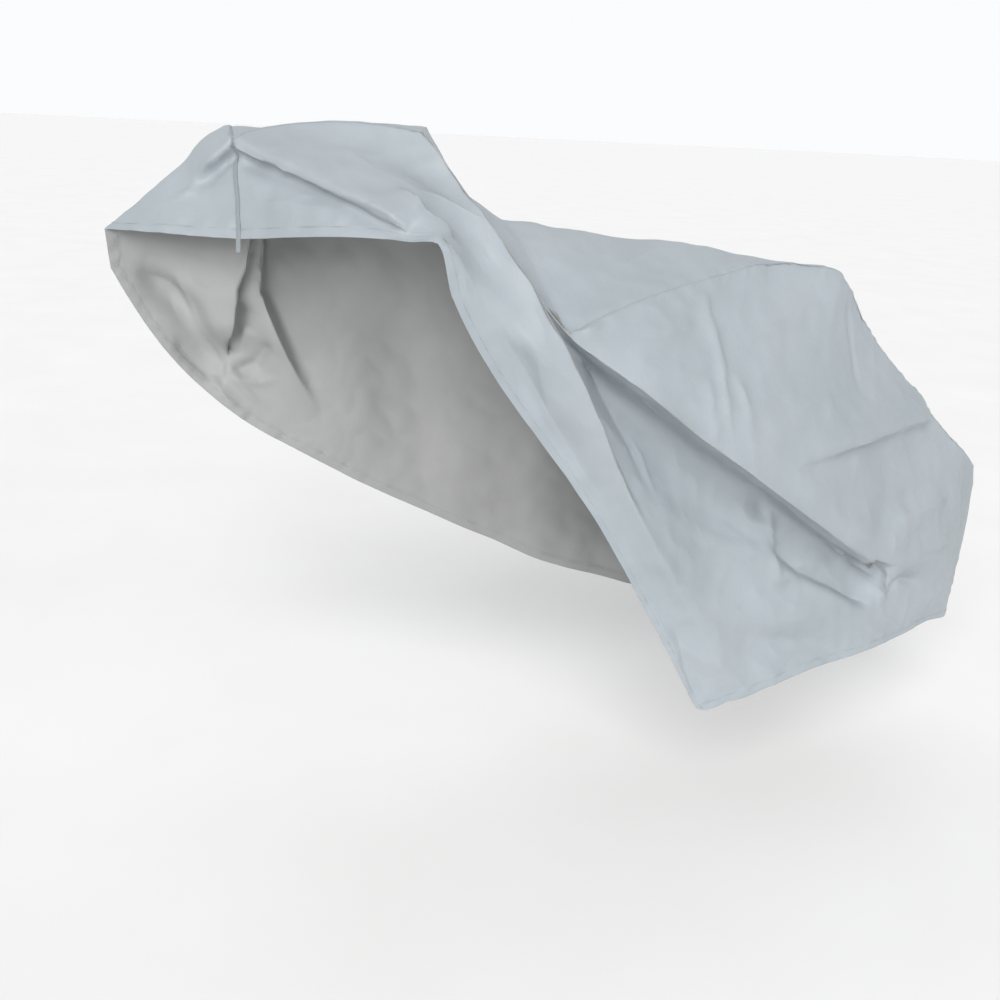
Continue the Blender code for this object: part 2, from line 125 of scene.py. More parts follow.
# Far side: the hem, and how far the cloth hangs out between hem and crown
FarSide = namedtuple("FarSide", "section hem_x hem_y hem_z belly_x belly_y crease")
FAR_SIDE = (
    FarSide("front_hem", -0.672, 0.270, 0.905, 0.000, 0.000, 0.0),
    FarSide("visor", -0.649, 0.270, 0.858, 0.000, 0.006, 0.0),
    FarSide("lip", -0.600, 0.268, 0.776, 0.000, 0.014, 0.0),
    FarSide("hood", -0.497, 0.255, 0.668, 0.000, 0.025, 0.0),
    FarSide("pleat_crest", -0.362, 0.240, 0.583, 0.000, 0.050, 0.2),
    FarSide("pleat_root", -0.295, 0.232, 0.543, 0.000, 0.055, 0.2),
    FarSide("gather", -0.225, 0.225, 0.504, 0.000, 0.055, 0.0),
    FarSide("stay", -0.060, 0.210, 0.422, 0.000, 0.060, 0.0),
    FarSide("middle", 0.100, 0.200, 0.347, 0.000, 0.060, 0.0),
    FarSide("rest_front", 0.260, 0.195, 0.290, 0.000, 0.060, 0.0),
    FarSide("rest_back", 0.430, 0.180, 0.262, 0.000, 0.060, 0.0),
    FarSide("tail", 0.600, 0.145, 0.255, 0.010, 0.055, 0.0),
    FarSide("rear", 0.760, 0.085, 0.250, 0.030, 0.035, 0.2),
    FarSide("rear_edge", 0.893, 0.014, 0.240, 0.016, 0.000, 1.0),
    FarSide("rear_seam", 0.872, -0.012, 0.240, 0.012, 0.000, 0.0),
)

# Near side, upper half. On the hood, brow is the line above the round corner of the front hem and
# lobe is that corner. Further back, brow is the crest of the long diagonal fold.
NearTop = namedtuple("NearTop", "section brow_x brow_y brow_z lobe_x lobe_y lobe_z crease")
NEAR_TOP = (
    NearTop("front_hem", -0.308, -0.064, 0.990, -0.272, -0.088, 0.990, 0.0),
    NearTop("visor", -0.302, -0.064, 0.992, -0.268, -0.086, 0.992, 0.0),
    NearTop("lip", -0.296, -0.058, 1.000, -0.260, -0.080, 0.996, 0.5),
    NearTop("hood", -0.270, -0.004, 1.052, -0.222, -0.055, 0.990, 0.2),
    NearTop("pleat_crest", -0.180, -0.038, 1.014, -0.140, -0.086, 0.950, 1.0),
    NearTop("pleat_root", -0.143, -0.046, 0.944, -0.118, -0.070, 0.900, 1.0),
    NearTop("gather", -0.069, -0.109, 0.854, -0.061, -0.101, 0.842, 1.0),
    NearTop("stay", 0.028, -0.150, 0.788, 0.043, -0.135, 0.772, 0.2),
    NearTop("middle", 0.124, -0.170, 0.716, 0.145, -0.150, 0.695, 0.2),
    NearTop("rest_front", 0.216, -0.180, 0.656, 0.242, -0.155, 0.632, 0.2),
    NearTop("rest_back", 0.362, -0.170, 0.558, 0.388, -0.147, 0.530, 0.2),
    NearTop("tail", 0.566, -0.140, 0.440, 0.580, -0.130, 0.410, 0.2),
    NearTop("rear", 0.700, -0.092, 0.430, 0.710, -0.090, 0.400, 0.2),
    NearTop("rear_edge", 0.800, -0.050, 0.440, 0.806, -0.048, 0.410, 0.2),
    NearTop("rear_seam", 0.862, -0.012, 0.470, 0.866, -0.013, 0.435, 0.0),
)

# Near side, lower half. upper is the valley under the diagonal fold, and on the band in front of it
# the line at the same height.
NearLow = namedtuple(
    "NearLow", "section upper_x upper_y upper_z lower_x lower_y lower_z hem_x hem_y hem_z crease"
)
NEAR_LOW = (
    NearLow("front_hem", -0.250, -0.090, 0.918, -0.008, -0.110, 0.572, 0.196, -0.150, 0.224, 0.0),
    NearLow("visor", -0.230, -0.090, 0.914, 0.004, -0.110, 0.570, 0.212, -0.150, 0.218, 0.0),
    NearLow("lip", -0.205, -0.092, 0.910, 0.018, -0.112, 0.570, 0.228, -0.150, 0.220, 0.0),
    NearLow("hood", -0.166, -0.100, 0.900, 0.040, -0.120, 0.570, 0.256, -0.152, 0.228, 0.0),
    NearLow("pleat_crest", -0.102, -0.118, 0.878, 0.062, -0.130, 0.574, 0.280, -0.156, 0.232, 1.0),
    NearLow("pleat_root", -0.088, -0.088, 0.848, 0.074, -0.126, 0.570, 0.292, -0.156, 0.234, 1.0),
    NearLow("gather", -0.048, -0.086, 0.828, 0.112, -0.116, 0.568, 0.312, -0.156, 0.240, 1.0),
    NearLow("stay", 0.060, -0.096, 0.756, 0.192, -0.112, 0.512, 0.364, -0.160, 0.256, 0.2),
    NearLow("middle", 0.172, -0.100, 0.672, 0.272, -0.117, 0.478, 0.420, -0.160, 0.268, 0.2),
    NearLow("rest_front", 0.278, -0.102, 0.600, 0.356, -0.122, 0.448, 0.484, -0.156, 0.274, 0.2),
    NearLow("rest_back", 0.430, -0.104, 0.492, 0.466, -0.128, 0.404, 0.572, -0.136, 0.276, 0.2),
    NearLow("tail", 0.604, -0.110, 0.374, 0.628, -0.108, 0.338, 0.684, -0.100, 0.272, 0.2),
    NearLow("rear", 0.722, -0.086, 0.368, 0.745, -0.080, 0.320, 0.780, -0.060, 0.264, 0.0),
    NearLow("rear_edge", 0.812, -0.047, 0.370, 0.825, -0.042, 0.310, 0.835, -0.034, 0.250, 0.0),
    NearLow("rear_seam", 0.868, -0.012, 0.400, 0.872, -0.012, 0.310, 0.872, -0.012, 0.238, 0.0),
)

# The centre seam down the rear, from the top corner to the hem
REAR_SEAM = (
    (0.850, -0.007, 0.555), (0.862, -0.010, 0.470), (0.870, -0.012, 0.380), (0.873, -0.012, 0.300),
    (0.872, -0.012, 0.238),
)

# How crisp the cloth turns at each line across a section, over the cover and at its front hem: 0 is
# a smooth curve, 1 a sharp crease
FAR_TURN = ((0.0, 0.0, 0.3, 0.3), (0.0, 0.0, 0.95, 0.3))
NEAR_TURN = ((0.3, 0.85, 0.4, 0.0, 0.2, 0.0), (0.3, 0.5, 0.3, 0.3, 0.1, 0.0))
# The Z-fold behind the band fades towards the bottom hem, and so do its creases
LOW_CREASE = 0.25

# Crests of the two deep pleats at the front of the far panel, on the side that faces in, and the rows
# of the grid that follow them, counted from the hood
FIRST_PLEAT = (
    (-0.474, 0.262, 1.085), (-0.478, 0.264, 1.000), (-0.490, 0.262, 0.914), (-0.502, 0.262, 0.877),
    (-0.504, 0.265, 0.820), (-0.508, 0.266, 0.757), (-0.512, 0.264, 0.735),
)
SECOND_PLEAT = (
    (-0.450, 0.262, 1.085), (-0.454, 0.262, 0.965), (-0.458, 0.262, 0.870), (-0.437, 0.258, 0.815),
    (-0.402, 0.250, 0.736), (-0.363, 0.245, 0.660),
)
FIRST_PLEAT_ROW = -12
SECOND_PLEAT_ROW = 14
# Crisp crease across the rear of the near panel, and the column of the grid that follows it
REAR_CREASE = (
    (0.300, -0.163, 0.651), (0.402, -0.132, 0.658), (0.541, -0.077, 0.663), (0.747, -0.002, 0.664),
)
CREASE_COLUMN = 26
# Past the ends of such a crest, its row eases back to its own place over this many columns
ROWS_EASE = 14.0
# Rows near a crisp fold are drawn closer to it: from how far, and to what share of their distance
FAR_REACH = 0.028
LIP_REACH = 0.040
BAND_REACH = 0.020
RIDGE_REACH = 0.025
CREASE_REACH = 0.040
ROW_PULL = 0.35
# Passes that even the normals along which the main folds, the fine folds, the crumples and the faces
# of the cloth are laid
MAIN_PASSES, FINE_PASSES, CRUMPLE_PASSES, FACE_PASSES = 8, 3, 2, 1

# Folds, one row each: the panels it is in (f, n or both), the path of its crest, its height towards
# the outside (negative folds stand inwards), the width of the slope on either side as seen along the
# path from outside, how far it takes to rise and to fade as a share of its path, how crisp it is,
# from 0 for a round fold to 1 for a pressed one, and how far its crest leans over to the right.
Fold = namedtuple("Fold", "name panels path height left right rise fade crisp lean", defaults=(0.0, 0.0))
MAIN_FOLDS = (
    Fold("lip", "fn", ((-0.490, 0.200, 1.094), (-0.412, 0.102, 1.063), (-0.303, -0.052, 1.000)),
         0.011, 0.050, 0.008, 0.02, 0.05, 0.0, 0.002),
    Fold("left_lip", "fn", ((-0.490, 0.200, 1.094), (-0.533, 0.215, 1.057), (-0.568, 0.232, 1.036)),
         0.012, 0.008, 0.045, 0.02, 0.55, 0.2, -0.002),
    Fold("rear_crease", "fn", REAR_CREASE, 0.014, 0.090, 0.007, 0.35, 0.12, 0.2),
    Fold("tail_tuck", "n", ((0.559, -0.126, 0.500), (0.650, -0.090, 0.512), (0.790, -0.030, 0.525)),
         0.015, 0.022, 0.030, 0.3, 0.3),
    Fold("tail_pinch", "n", ((0.520, -0.150, 0.440), (0.606, -0.121, 0.391)),
         -0.0224, 0.020, 0.026, 0.3, 0.4),
    Fold("low_hollow", "n", ((0.228, -0.146, 0.340), (0.371, -0.152, 0.311), (0.540, -0.149, 0.290)),
         -0.012, 0.035, 0.035, 0.3, 0.3),
    Fold("front_pleat", "f", FIRST_PLEAT[:-1], -0.040, 0.055, 0.008, 0.35, 0.20, 0.0, 0.003),
    Fold("second_pleat", "f", SECOND_PLEAT, -0.042, 0.040, 0.010, 0.30, 0.40, 0.0, 0.004),
    Fold("front_drape", "f", ((-0.640, 0.270, 0.905), (-0.567, 0.273, 0.839), (-0.540, 0.265, 0.775),
                              (-0.517, 0.259, 0.718)),
         0.0182, 0.025, 0.020, 0.3, 0.3),
    Fold("far_drape_1", "f", ((-0.230, 0.200, 1.000), (-0.160, 0.290, 0.360)),
         0.012, 0.060, 0.045, 0.4, 0.35),
    Fold("far_drape_2", "f", ((0.020, 0.150, 0.930), (0.045, 0.260, 0.220)),
         -0.012, 0.050, 0.060, 0.4, 0.35),
    Fold("far_drape_3", "f", ((0.180, 0.140, 0.900), (0.195, 0.260, 0.150)),
         0.012, 0.055, 0.045, 0.4, 0.35),
    Fold("far_drape_4", "f", ((0.400, 0.100, 0.880), (0.360, 0.240, 0.120)),
         -0.012, 0.050, 0.050, 0.4, 0.35),
    Fold("far_drape_5", "f", ((0.460, 0.080, 0.880), (0.630, 0.200, 0.110)),
         0.012, 0.060, 0.040, 0.3, 0.35),
)
FINE_FOLDS = (
    # Hood and visor
    Fold("lip_roll", "fn", ((-0.488, 0.196, 1.092), (-0.460, 0.151, 1.079), (-0.418, 0.091, 1.062),
                            (-0.364, 0.020, 1.039), (-0.332, -0.017, 1.023), (-0.304, -0.052, 1.001)),
         0.009, 0.020, 0.005, 0.03, 0.06, 0.3, 0.006),
    Fold("lip_shade", "fn", ((-0.480, 0.172, 1.078), (-0.420, 0.084, 1.050), (-0.366, 0.012, 1.026),
                             (-0.318, -0.046, 1.000)),
         -0.004, 0.004, 0.012, 0.05, 0.10, 0.3),
    Fold("left_roll", "fn", ((-0.490, 0.198, 1.093), (-0.513, 0.203, 1.076), (-0.535, 0.212, 1.059),
                             (-0.560, 0.224, 1.043)),
         0.004, 0.005, 0.018, 0.03, 0.50, 0.4, -0.002),
    Fold("left_shade", "fn", ((-0.492, 0.188, 1.084), (-0.512, 0.195, 1.066), (-0.534, 0.205, 1.047),
                              (-0.552, 0.216, 1.032)),
         -0.009, 0.010, 0.005, 0.05, 0.40, 0.5),
    Fold("left_tail", "f", ((-0.552, 0.218, 1.034), (-0.566, 0.226, 1.018), (-0.580, 0.234, 1.020)),
         0.004, 0.008, 0.006, 0.3, 0.4, 0.5),
    Fold("visor_pressed", "f", ((-0.596, 0.238, 1.012), (-0.602, 0.222, 0.990), (-0.604, 0.205, 0.968)),
         0.0015, 0.006, 0.010, 0.1, 0.4, 0.9),
    Fold("visor_side", "f", ((-0.628, 0.262, 0.998), (-0.618, 0.246, 0.980), (-0.610, 0.232, 0.968)),
         -0.0015, 0.012, 0.006, 0.2, 0.2, 0.8),
    Fold("visor_facet", "n", ((-0.485, 0.181, 1.074), (-0.461, 0.146, 1.060), (-0.436, 0.107, 1.044)),
         -0.006, 0.010, 0.012, 0.1, 0.6, 0.5),
    Fold("visor_faint", "n", ((-0.447, 0.099, 1.018), (-0.420, 0.083, 1.034), (-0.390, 0.055, 1.040)),
         0.0018, 0.010, 0.010, 0.3, 0.4, 0.7),
    Fold("hood_press", "n", ((-0.371, 0.110, 1.093), (-0.360, 0.038, 1.057), (-0.331, -0.013, 1.029)),
         0.002, 0.010, 0.008, 0.3, 0.3, 0.6),
    Fold("visor_line", "n", ((-0.467, 0.120, 1.021), (-0.422, 0.073, 1.020), (-0.377, 0.024, 1.016)),
         0.003, 0.010, 0.014, 0.2, 0.4, 0.4),
    Fold("visor_low", "n", ((-0.470, 0.110, 0.990), (-0.420, 0.070, 0.995), (-0.360, 0.010, 0.998)),
         0.0025, 0.030, 0.022, 0.3, 0.4, 0.2),
    Fold("lobe_line", "n", ((-0.299, 0.008, 1.057), (-0.288, -0.020, 1.044), (-0.275, -0.038, 1.027),
                            (-0.256, -0.051, 1.009), (-0.243, -0.065, 0.997)),
         0.009, 0.004, 0.028, 0.25, 0.05, 0.3, -0.003),
    Fold("top_short", "n", ((-0.354, 0.119, 1.100), (-0.339, 0.095, 1.090), (-0.323, 0.056, 1.078)),
         0.0018, 0.007, 0.010, 0.2, 0.3, 0.9),
    # Band in front of the pleat
    Fold("band_soft", "n", ((-0.166, -0.101, 0.899), (-0.131, -0.109, 0.851), (-0.112, -0.106, 0.789),
                            (-0.100, -0.104, 0.739), (-0.050, -0.108, 0.650)),
         0.0045, 0.022, 0.014, 0.2, 0.5, 0.3),
    Fold("band_second", "n", ((-0.190, -0.100, 0.870), (-0.120, -0.106, 0.760), (-0.060, -0.110, 0.650),
                              (0.000, -0.116, 0.560)),
         -0.003, 0.020, 0.020, 0.2, 0.3, 0.2),
    Fold("band_pressed", "n", ((-0.150, -0.106, 0.830), (-0.095, -0.116, 0.830)),
         0.0015, 0.006, 0.008, 0.3, 0.3, 0.9),
    Fold("strip_crease", "n", ((0.140, -0.134, 0.384), (0.172, -0.142, 0.291), (0.198, -0.150, 0.232)),
         -0.0025, 0.006, 0.010, 0.2, 0.1, 0.8),
    Fold("strip_crest", "n", ((0.090, -0.128, 0.430), (0.140, -0.140, 0.345), (0.190, -0.150, 0.250)),
         0.004, 0.012, 0.014, 0.3, 0.2, 0.4),
    # Top behind the hood
    Fold("top_crease", "f", ((0.003, -0.023, 0.938), (0.065, -0.005, 0.955), (0.130, 0.022, 0.973)),
         0.0022, 0.008, 0.010, 0.2, 0.3, 0.9),
    Fold("top_faint", "f", ((-0.091, 0.034, 0.973), (-0.084, -0.014, 0.937), (-0.068, -0.066, 0.897)),
         0.0025, 0.012, 0.010, 0.2, 0.2, 0.7),
    Fold("crumple_a", "fn", ((-0.094, -0.084, 0.892), (-0.065, -0.090, 0.878), (-0.045, -0.100, 0.869)),
         -0.005, 0.008, 0.007, 0.2, 0.3, 0.6),
    Fold("crumple_b", "fn", ((-0.060, -0.096, 0.872), (-0.045, -0.100, 0.869), (-0.016, -0.094, 0.880)),
         0.005, 0.007, 0.007, 0.2, 0.4, 0.6),
    # Near side behind the pleat
    Fold("wave_1", "n", ((0.179, -0.046, 0.921), (0.174, -0.070, 0.884), (0.181, -0.093, 0.845),
                         (0.185, -0.110, 0.817), (0.181, -0.147, 0.749), (0.192, -0.169, 0.697)),
         0.0065, 0.010, 0.014, 0.15, 0.3, 0.7),
    Fold("wave_2", "n", ((0.211, -0.116, 0.798), (0.221, -0.139, 0.755), (0.232, -0.157, 0.705)),
         0.0040, 0.010, 0.010, 0.3, 0.4, 0.7),
    Fold("wave_3", "n", ((0.150, -0.110, 0.800), (0.152, -0.130, 0.760), (0.146, -0.150, 0.730)),
         0.0035, 0.010, 0.012, 0.3, 0.4, 0.6),
    Fold("press_high", "n", ((0.272, -0.071, 0.856), (0.350, -0.050, 0.869), (0.433, -0.031, 0.881),
                             (0.494, -0.010, 0.889)),
         0.0025, 0.008, 0.006, 0.2, 0.2, 0.8),
    Fold("step_rear", "n", ((0.417, -0.093, 0.759), (0.409, -0.123, 0.696)),
         0.002, 0.012, 0.008, 0.3, 0.3, 0.6),
    Fold("seam_bulge", "n", ((0.038, -0.104, 0.864), (0.090, -0.096, 0.865), (0.155, -0.079, 0.876)),
         0.005, 0.020, 0.016, 0.3, 0.3, 0.3),
    Fold("top_soft", "n", ((0.200, -0.075, 0.846), (0.254, -0.075, 0.854), (0.361, -0.044, 0.876),
                           (0.480, -0.019, 0.881)),
         0.004, 0.030, 0.016, 0.2, 0.3, 0.4),
    Fold("rear_upright", "n", ((0.491, -0.012, 0.888), (0.501, -0.028, 0.838), (0.500, -0.051, 0.781),
                               (0.509, -0.071, 0.721)),
         -0.0050, 0.007, 0.012, 0.1, 0.3, 0.8),
    Fold("crease_press", "n", ((0.304, -0.159, 0.649), (0.371, -0.147, 0.665), (0.522, -0.086, 0.665),
                               (0.593, -0.065, 0.671), (0.744, -0.003, 0.666)),
         0.004, 0.014, 0.006, 0.1, 0.1, 0.8),
    Fold("pinch_hollow", "n", ((0.319, -0.103, 0.549), (0.342, -0.115, 0.489), (0.393, -0.122, 0.447),
                               (0.471, -0.125, 0.412), (0.574, -0.119, 0.352)),
         -0.020, 0.046, 0.012, 0.4, 0.15, 0.3),
    Fold("gather_line", "n", ((0.562, -0.121, 0.502), (0.650, -0.091, 0.506), (0.743, -0.062, 0.510),
                              (0.809, -0.035, 0.500)),
         -0.007, 0.007, 0.014, 0.25, 0.15, 0.7),
    Fold("gather_under", "n", ((0.659, -0.092, 0.494), (0.745, -0.064, 0.496), (0.837, -0.025, 0.481)),
         -0.004, 0.006, 0.010, 0.3, 0.2, 0.6),
    Fold("gather_arc", "n", ((0.588, -0.103, 0.536), (0.659, -0.078, 0.547), (0.763, -0.041, 0.541)),
         -0.005, 0.009, 0.018, 0.3, 0.3, 0.5),
    Fold("gather_facet", "n", ((0.666, -0.094, 0.478), (0.682, -0.097, 0.444), (0.739, -0.077, 0.431),
                               (0.811, -0.045, 0.439)),
         0.005, 0.010, 0.007, 0.2, 0.3, 0.5),
    Fold("gather_wedge", "n", ((0.600, -0.110, 0.373), (0.638, -0.112, 0.391), (0.741, -0.080, 0.355)),
         -0.012, 0.020, 0.011, 0.12, 0.6, 0.4),
    Fold("pinch_ridge", "n", ((0.478, -0.111, 0.440), (0.529, -0.116, 0.424), (0.576, -0.120, 0.400)),
         0.005, 0.008, 0.012, 0.3, 0.2, 0.4),
    Fold("pinch_right", "n", ((0.585, -0.117, 0.340), (0.598, -0.111, 0.377), (0.581, -0.128, 0.427)),
         0.009, 0.006, 0.016, 0.3, 0.2, 0.4),
    Fold("ridge_bulge", "n", ((0.283, -0.168, 0.640), (0.397, -0.160, 0.572), (0.546, -0.134, 0.476)),
         0.008, 0.035, 0.014, 0.3, 0.2, 0.2),
    Fold("tail_wrinkle", "n", ((0.577, -0.124, 0.475), (0.626, -0.109, 0.473), (0.685, -0.094, 0.450)),
         0.006, 0.008, 0.008, 0.2, 0.4, 0.4),
    Fold("ridge_tuck", "n", ((0.262, -0.115, 0.610), (0.305, -0.103, 0.577), (0.326, -0.106, 0.528)),
         -0.008, 0.012, 0.014, 0.2, 0.4, 0.3),
    Fold("mid_soft", "n", ((0.163, -0.100, 0.589), (0.242, -0.106, 0.549), (0.314, -0.113, 0.499)),
         -0.005, 0.020, 0.030, 0.3, 0.3, 0.2),
    Fold("mid_press", "n", ((0.185, -0.112, 0.522), (0.263, -0.114, 0.503), (0.329, -0.117, 0.479)),
         0.0025, 0.008, 0.008, 0.2, 0.3, 0.7),
    Fold("low_line", "n", ((0.139, -0.135, 0.357), (0.194, -0.143, 0.315), (0.274, -0.148, 0.289)),
         0.003, 0.012, 0.018, 0.2, 0.4, 0.5),
    Fold("tuck_edge", "n", ((0.326, -0.105, 0.565), (0.340, -0.113, 0.495), (0.343, -0.123, 0.448),
                            (0.319, -0.127, 0.425)),
         0.006, 0.010, 0.016, 0.2, 0.3, 0.6),
    Fold("tuck_cross", "n", ((0.319, -0.127, 0.425), (0.424, -0.120, 0.458), (0.459, -0.120, 0.471)),
         0.005, 0.014, 0.018, 0.2, 0.3, 0.4),
    Fold("low_wrinkle_1", "n", ((0.182, -0.110, 0.534), (0.229, -0.112, 0.519), (0.329, -0.115, 0.491)),
         0.002, 0.008, 0.010, 0.2, 0.3, 0.6),
    Fold("low_wrinkle_2", "n", ((0.210, -0.114, 0.508), (0.290, -0.118, 0.488)),
         0.0018, 0.008, 0.008, 0.3, 0.3, 0.6),
    Fold("low_fold", "n", ((0.332, -0.128, 0.418), (0.385, -0.135, 0.384), (0.446, -0.135, 0.368)),
         0.003, 0.014, 0.016, 0.3, 0.3, 0.4),
    Fold("low_press", "n", ((0.207, -0.145, 0.368), (0.342, -0.140, 0.326), (0.487, -0.143, 0.300)),
         -0.0025, 0.020, 0.010, 0.2, 0.3, 0.5),
    Fold("pleat_press", "n", ((0.038, -0.120, 0.760), (0.081, -0.092, 0.669), (0.096, -0.108, 0.588)),
         0.0025, 0.007, 0.010, 0.05, 0.3, 0.9),
    Fold("pleat_cross", "n", ((0.010, -0.100, 0.690), (0.075, -0.090, 0.679)),
         0.002, 0.007, 0.008, 0.2, 0.3, 0.8),
    # Inside of the far panel at the front
    Fold("drape_a", "f", ((-0.647, 0.272, 0.909), (-0.590, 0.279, 0.874), (-0.564, 0.281, 0.848),
                          (-0.542, 0.278, 0.813), (-0.524, 0.273, 0.770), (-0.506, 0.265, 0.738)),
         0.0095, 0.014, 0.030, 0.25, 0.15, 0.35),
    Fold("drape_b", "f", ((-0.578, 0.274, 0.908), (-0.564, 0.276, 0.868), (-0.549, 0.279, 0.827),
                          (-0.531, 0.275, 0.789), (-0.511, 0.268, 0.749)),
         -0.0045, 0.008, 0.012, 0.2, 0.1, 0.8),
    Fold("drape_c", "f", ((-0.592, 0.271, 0.805), (-0.566, 0.271, 0.772), (-0.534, 0.265, 0.736),
                          (-0.505, 0.264, 0.733)),
         0.0075, 0.016, 0.022, 0.3, 0.1, 0.4),
    Fold("meeting_1", "f", ((-0.498, 0.264, 0.735), (-0.462, 0.264, 0.752), (-0.434, 0.256, 0.789)),
         0.0096, 0.010, 0.012, 0.1, 0.3, 0.4),
    Fold("meeting_2", "f", ((-0.499, 0.263, 0.732), (-0.479, 0.258, 0.705), (-0.458, 0.254, 0.683)),
         -0.0054, 0.006, 0.008, 0.1, 0.3, 0.8),
    Fold("meeting_3", "f", ((-0.534, 0.265, 0.736), (-0.502, 0.256, 0.681), (-0.480, 0.255, 0.660)),
         -0.0048, 0.010, 0.010, 0.1, 0.1, 0.6),
    Fold("meeting_4", "f", ((-0.500, 0.262, 0.728), (-0.455, 0.256, 0.720), (-0.420, 0.250, 0.735)),
         -0.0054, 0.008, 0.008, 0.1, 0.4, 0.7),
    Fold("pocket", "f", ((-0.494, 0.250, 0.862), (-0.491, 0.252, 0.820), (-0.502, 0.258, 0.758)),
         0.022, 0.006, 0.013, 0.25, 0.15, 0.2),
    Fold("pocket_edge", "f", ((-0.498, 0.268, 0.757), (-0.488, 0.269, 0.781), (-0.465, 0.267, 0.818)),
         -0.008, 0.014, 0.006, 0.2, 0.2, 0.5),
    Fold("inner_small_1", "f", ((-0.470, 0.249, 0.936), (-0.461, 0.232, 0.922), (-0.449, 0.233, 0.905)),
         0.0052, 0.006, 0.006, 0.1, 0.2, 0.8),
    Fold("inner_small_2", "f", ((-0.467, 0.233, 0.900), (-0.447, 0.232, 0.866)),
         0.0039, 0.006, 0.006, 0.2, 0.2, 0.8),
)

# Random crumpling of the cloth: size of a crumple, its height, and whether it is ridged like cloth
# that was stored folded
Crumple = namedtuple("Crumple", "seed size height ridged")
CRUMPLES = (
    Crumple(11, 0.300, 0.0020, False),
    Crumple(12, 0.160, 0.0014, True),
    Crumple(13, 0.070, 0.0010, True),
)
WAVES_IN_CRUMPLE = 14


def tangents(knots, points, turn):
    """Slopes of the curve on the left and on the right of each knot."""
    slopes = (points[1:] - points[:-1]) / (knots[1:] - knots[:-1])[:, None]
    before = np.concatenate([slopes[:1], slopes])
    after = np.concatenate([slopes, slopes[-1:]])
    gap_before = np.concatenate([[1.0], knots[1:] - knots[:-1]])[:, None]
    gap_after = np.concatenate([knots[1:] - knots[:-1], [1.0]])[:, None]
    smooth = (before * gap_after + after * gap_before) / (gap_before + gap_after)
    turn = np.asarray(turn)[:, None]
    return smooth + turn * (before - smooth), smooth + turn * (after - smooth)


def curve(points, steps, turn):
    """A curve through the points, with the given number of steps in each stretch."""
    points = np.asarray(points, float)
    lengths = np.linalg.norm(np.diff(points, axis=0), axis=1)
    knots = np.concatenate([[0.0], np.cumsum(np.maximum(lengths, 1e-4))])
    before, after = tangents(knots, points, turn)
    found = []
    for i, count in enumerate(steps):
        span = knots[i + 1] - knots[i]
        t = (np.arange(count) / count)[:, None]
        found.append(
            (2 * t**3 - 3 * t**2 + 1) * points[i]
            + (t**3 - 2 * t**2 + t) * span * after[i]
            + (3 * t**2 - 2 * t**3) * points[i + 1]
            + (t**3 - t**2) * span * before[i + 1]
        )
    return np.concatenate(found + [points[-1:]])


def place(point):
    """From the tables' ground frame to the part's own frame."""
    return np.asarray(point) - (REST_X, 0.0, REST_HEIGHT)


def column(table, name):
    """One line of the cloth from a table, as points, with its crease at each section."""
    points = np.array([[getattr(row, f"{name}_{axis}") for axis in "xyz"] for row in table])
    return points, np.array([row.crease for row in table])


def far_lines():
    """Lines of the far panel from its hem up to the seam, each with its crease at the sections."""
    hem, crease = column(FAR_SIDE, "hem")
    crown = column(TOP, "crown")
    belly = np.array([(row.belly_x, row.belly_y, 0.0) for row in FAR_SIDE])
    return [(hem, crease), ((hem + crown[0]) / 2 + belly, crease), crown, column(TOP, "seam")]


def near_lines():
    """Lines of the near panel from the seam down to its hem, each with its crease at the sections."""
    high = ((TOP, "seam"), (NEAR_TOP, "brow"), (NEAR_TOP, "lobe"), (NEAR_LOW, "upper"))
    low = ((NEAR_LOW, "lower"), (NEAR_LOW, "hem"))
    faded = [(points, crease * LOW_CREASE) for points, crease in (column(*line) for line in low)]
    return [column(*line) for line in high] + faded


def panel_grid(lines, row_steps, steps, turn):
    """Points of a panel as [section][line], from its lines and the steps between them."""
    along = [curve(points, row_steps, crease) for points, crease in lines]
    to_lip = sum(row_steps[:LIP])
    rows = []
    for i in range(len(along[0])):
        front = eased(1.0 - i / to_lip)
        row_turn = [a + (b - a) * front for a, b in zip(*turn)]
        rows.append(curve([line[i] for line in along], steps, row_turn))
    return np.array(rows)


def unit(vectors):
    """The vectors at a length of 1."""
    return vectors / np.maximum(np.linalg.norm(vectors, axis=-1, keepdims=True), 1e-9)


def evened(values, passes):
    """Values on a grid, each mixed with its neighbours."""
    for _ in range(passes):
        wide = np.pad(values, ((1, 1), (1, 1), (0, 0)), mode="edge")
        values = (2 * values + wide[2:, 1:-1] + wide[:-2, 1:-1] + wide[1:-1, 2:] + wide[1:-1, :-2]) / 6
    return values


def normals(grid, passes):
    """Unit normals of a grid of points, pointing to the outside of the cover."""
    n = unit(np.cross(np.gradient(grid, axis=1), np.gradient(grid, axis=0)))
    return unit(evened(n, passes))


def by_height(heights, line, values):
    """Values of a line of points that runs up or down, read off at other heights."""
    order = np.argsort(line[:, 2])
    return np.stack([np.interp(heights, line[order, 2], values[order, k]) for k in range(3)], axis=1)


def close_rear(grid):
    """Both panels end on the same line down the rear, so their last rows are laid on it by height."""
    line = curve(REAR_SEAM, [24] * (len(REAR_SEAM) - 1), [0.0] * len(REAR_SEAM))[::-1]
    height = grid[-1, :, 2]
    below_top = height <= line[-1, 2]
    for axis in (0, 1):
        grid[-1, below_top, axis] = np.interp(height[below_top], line[:, 2], line[:, axis])


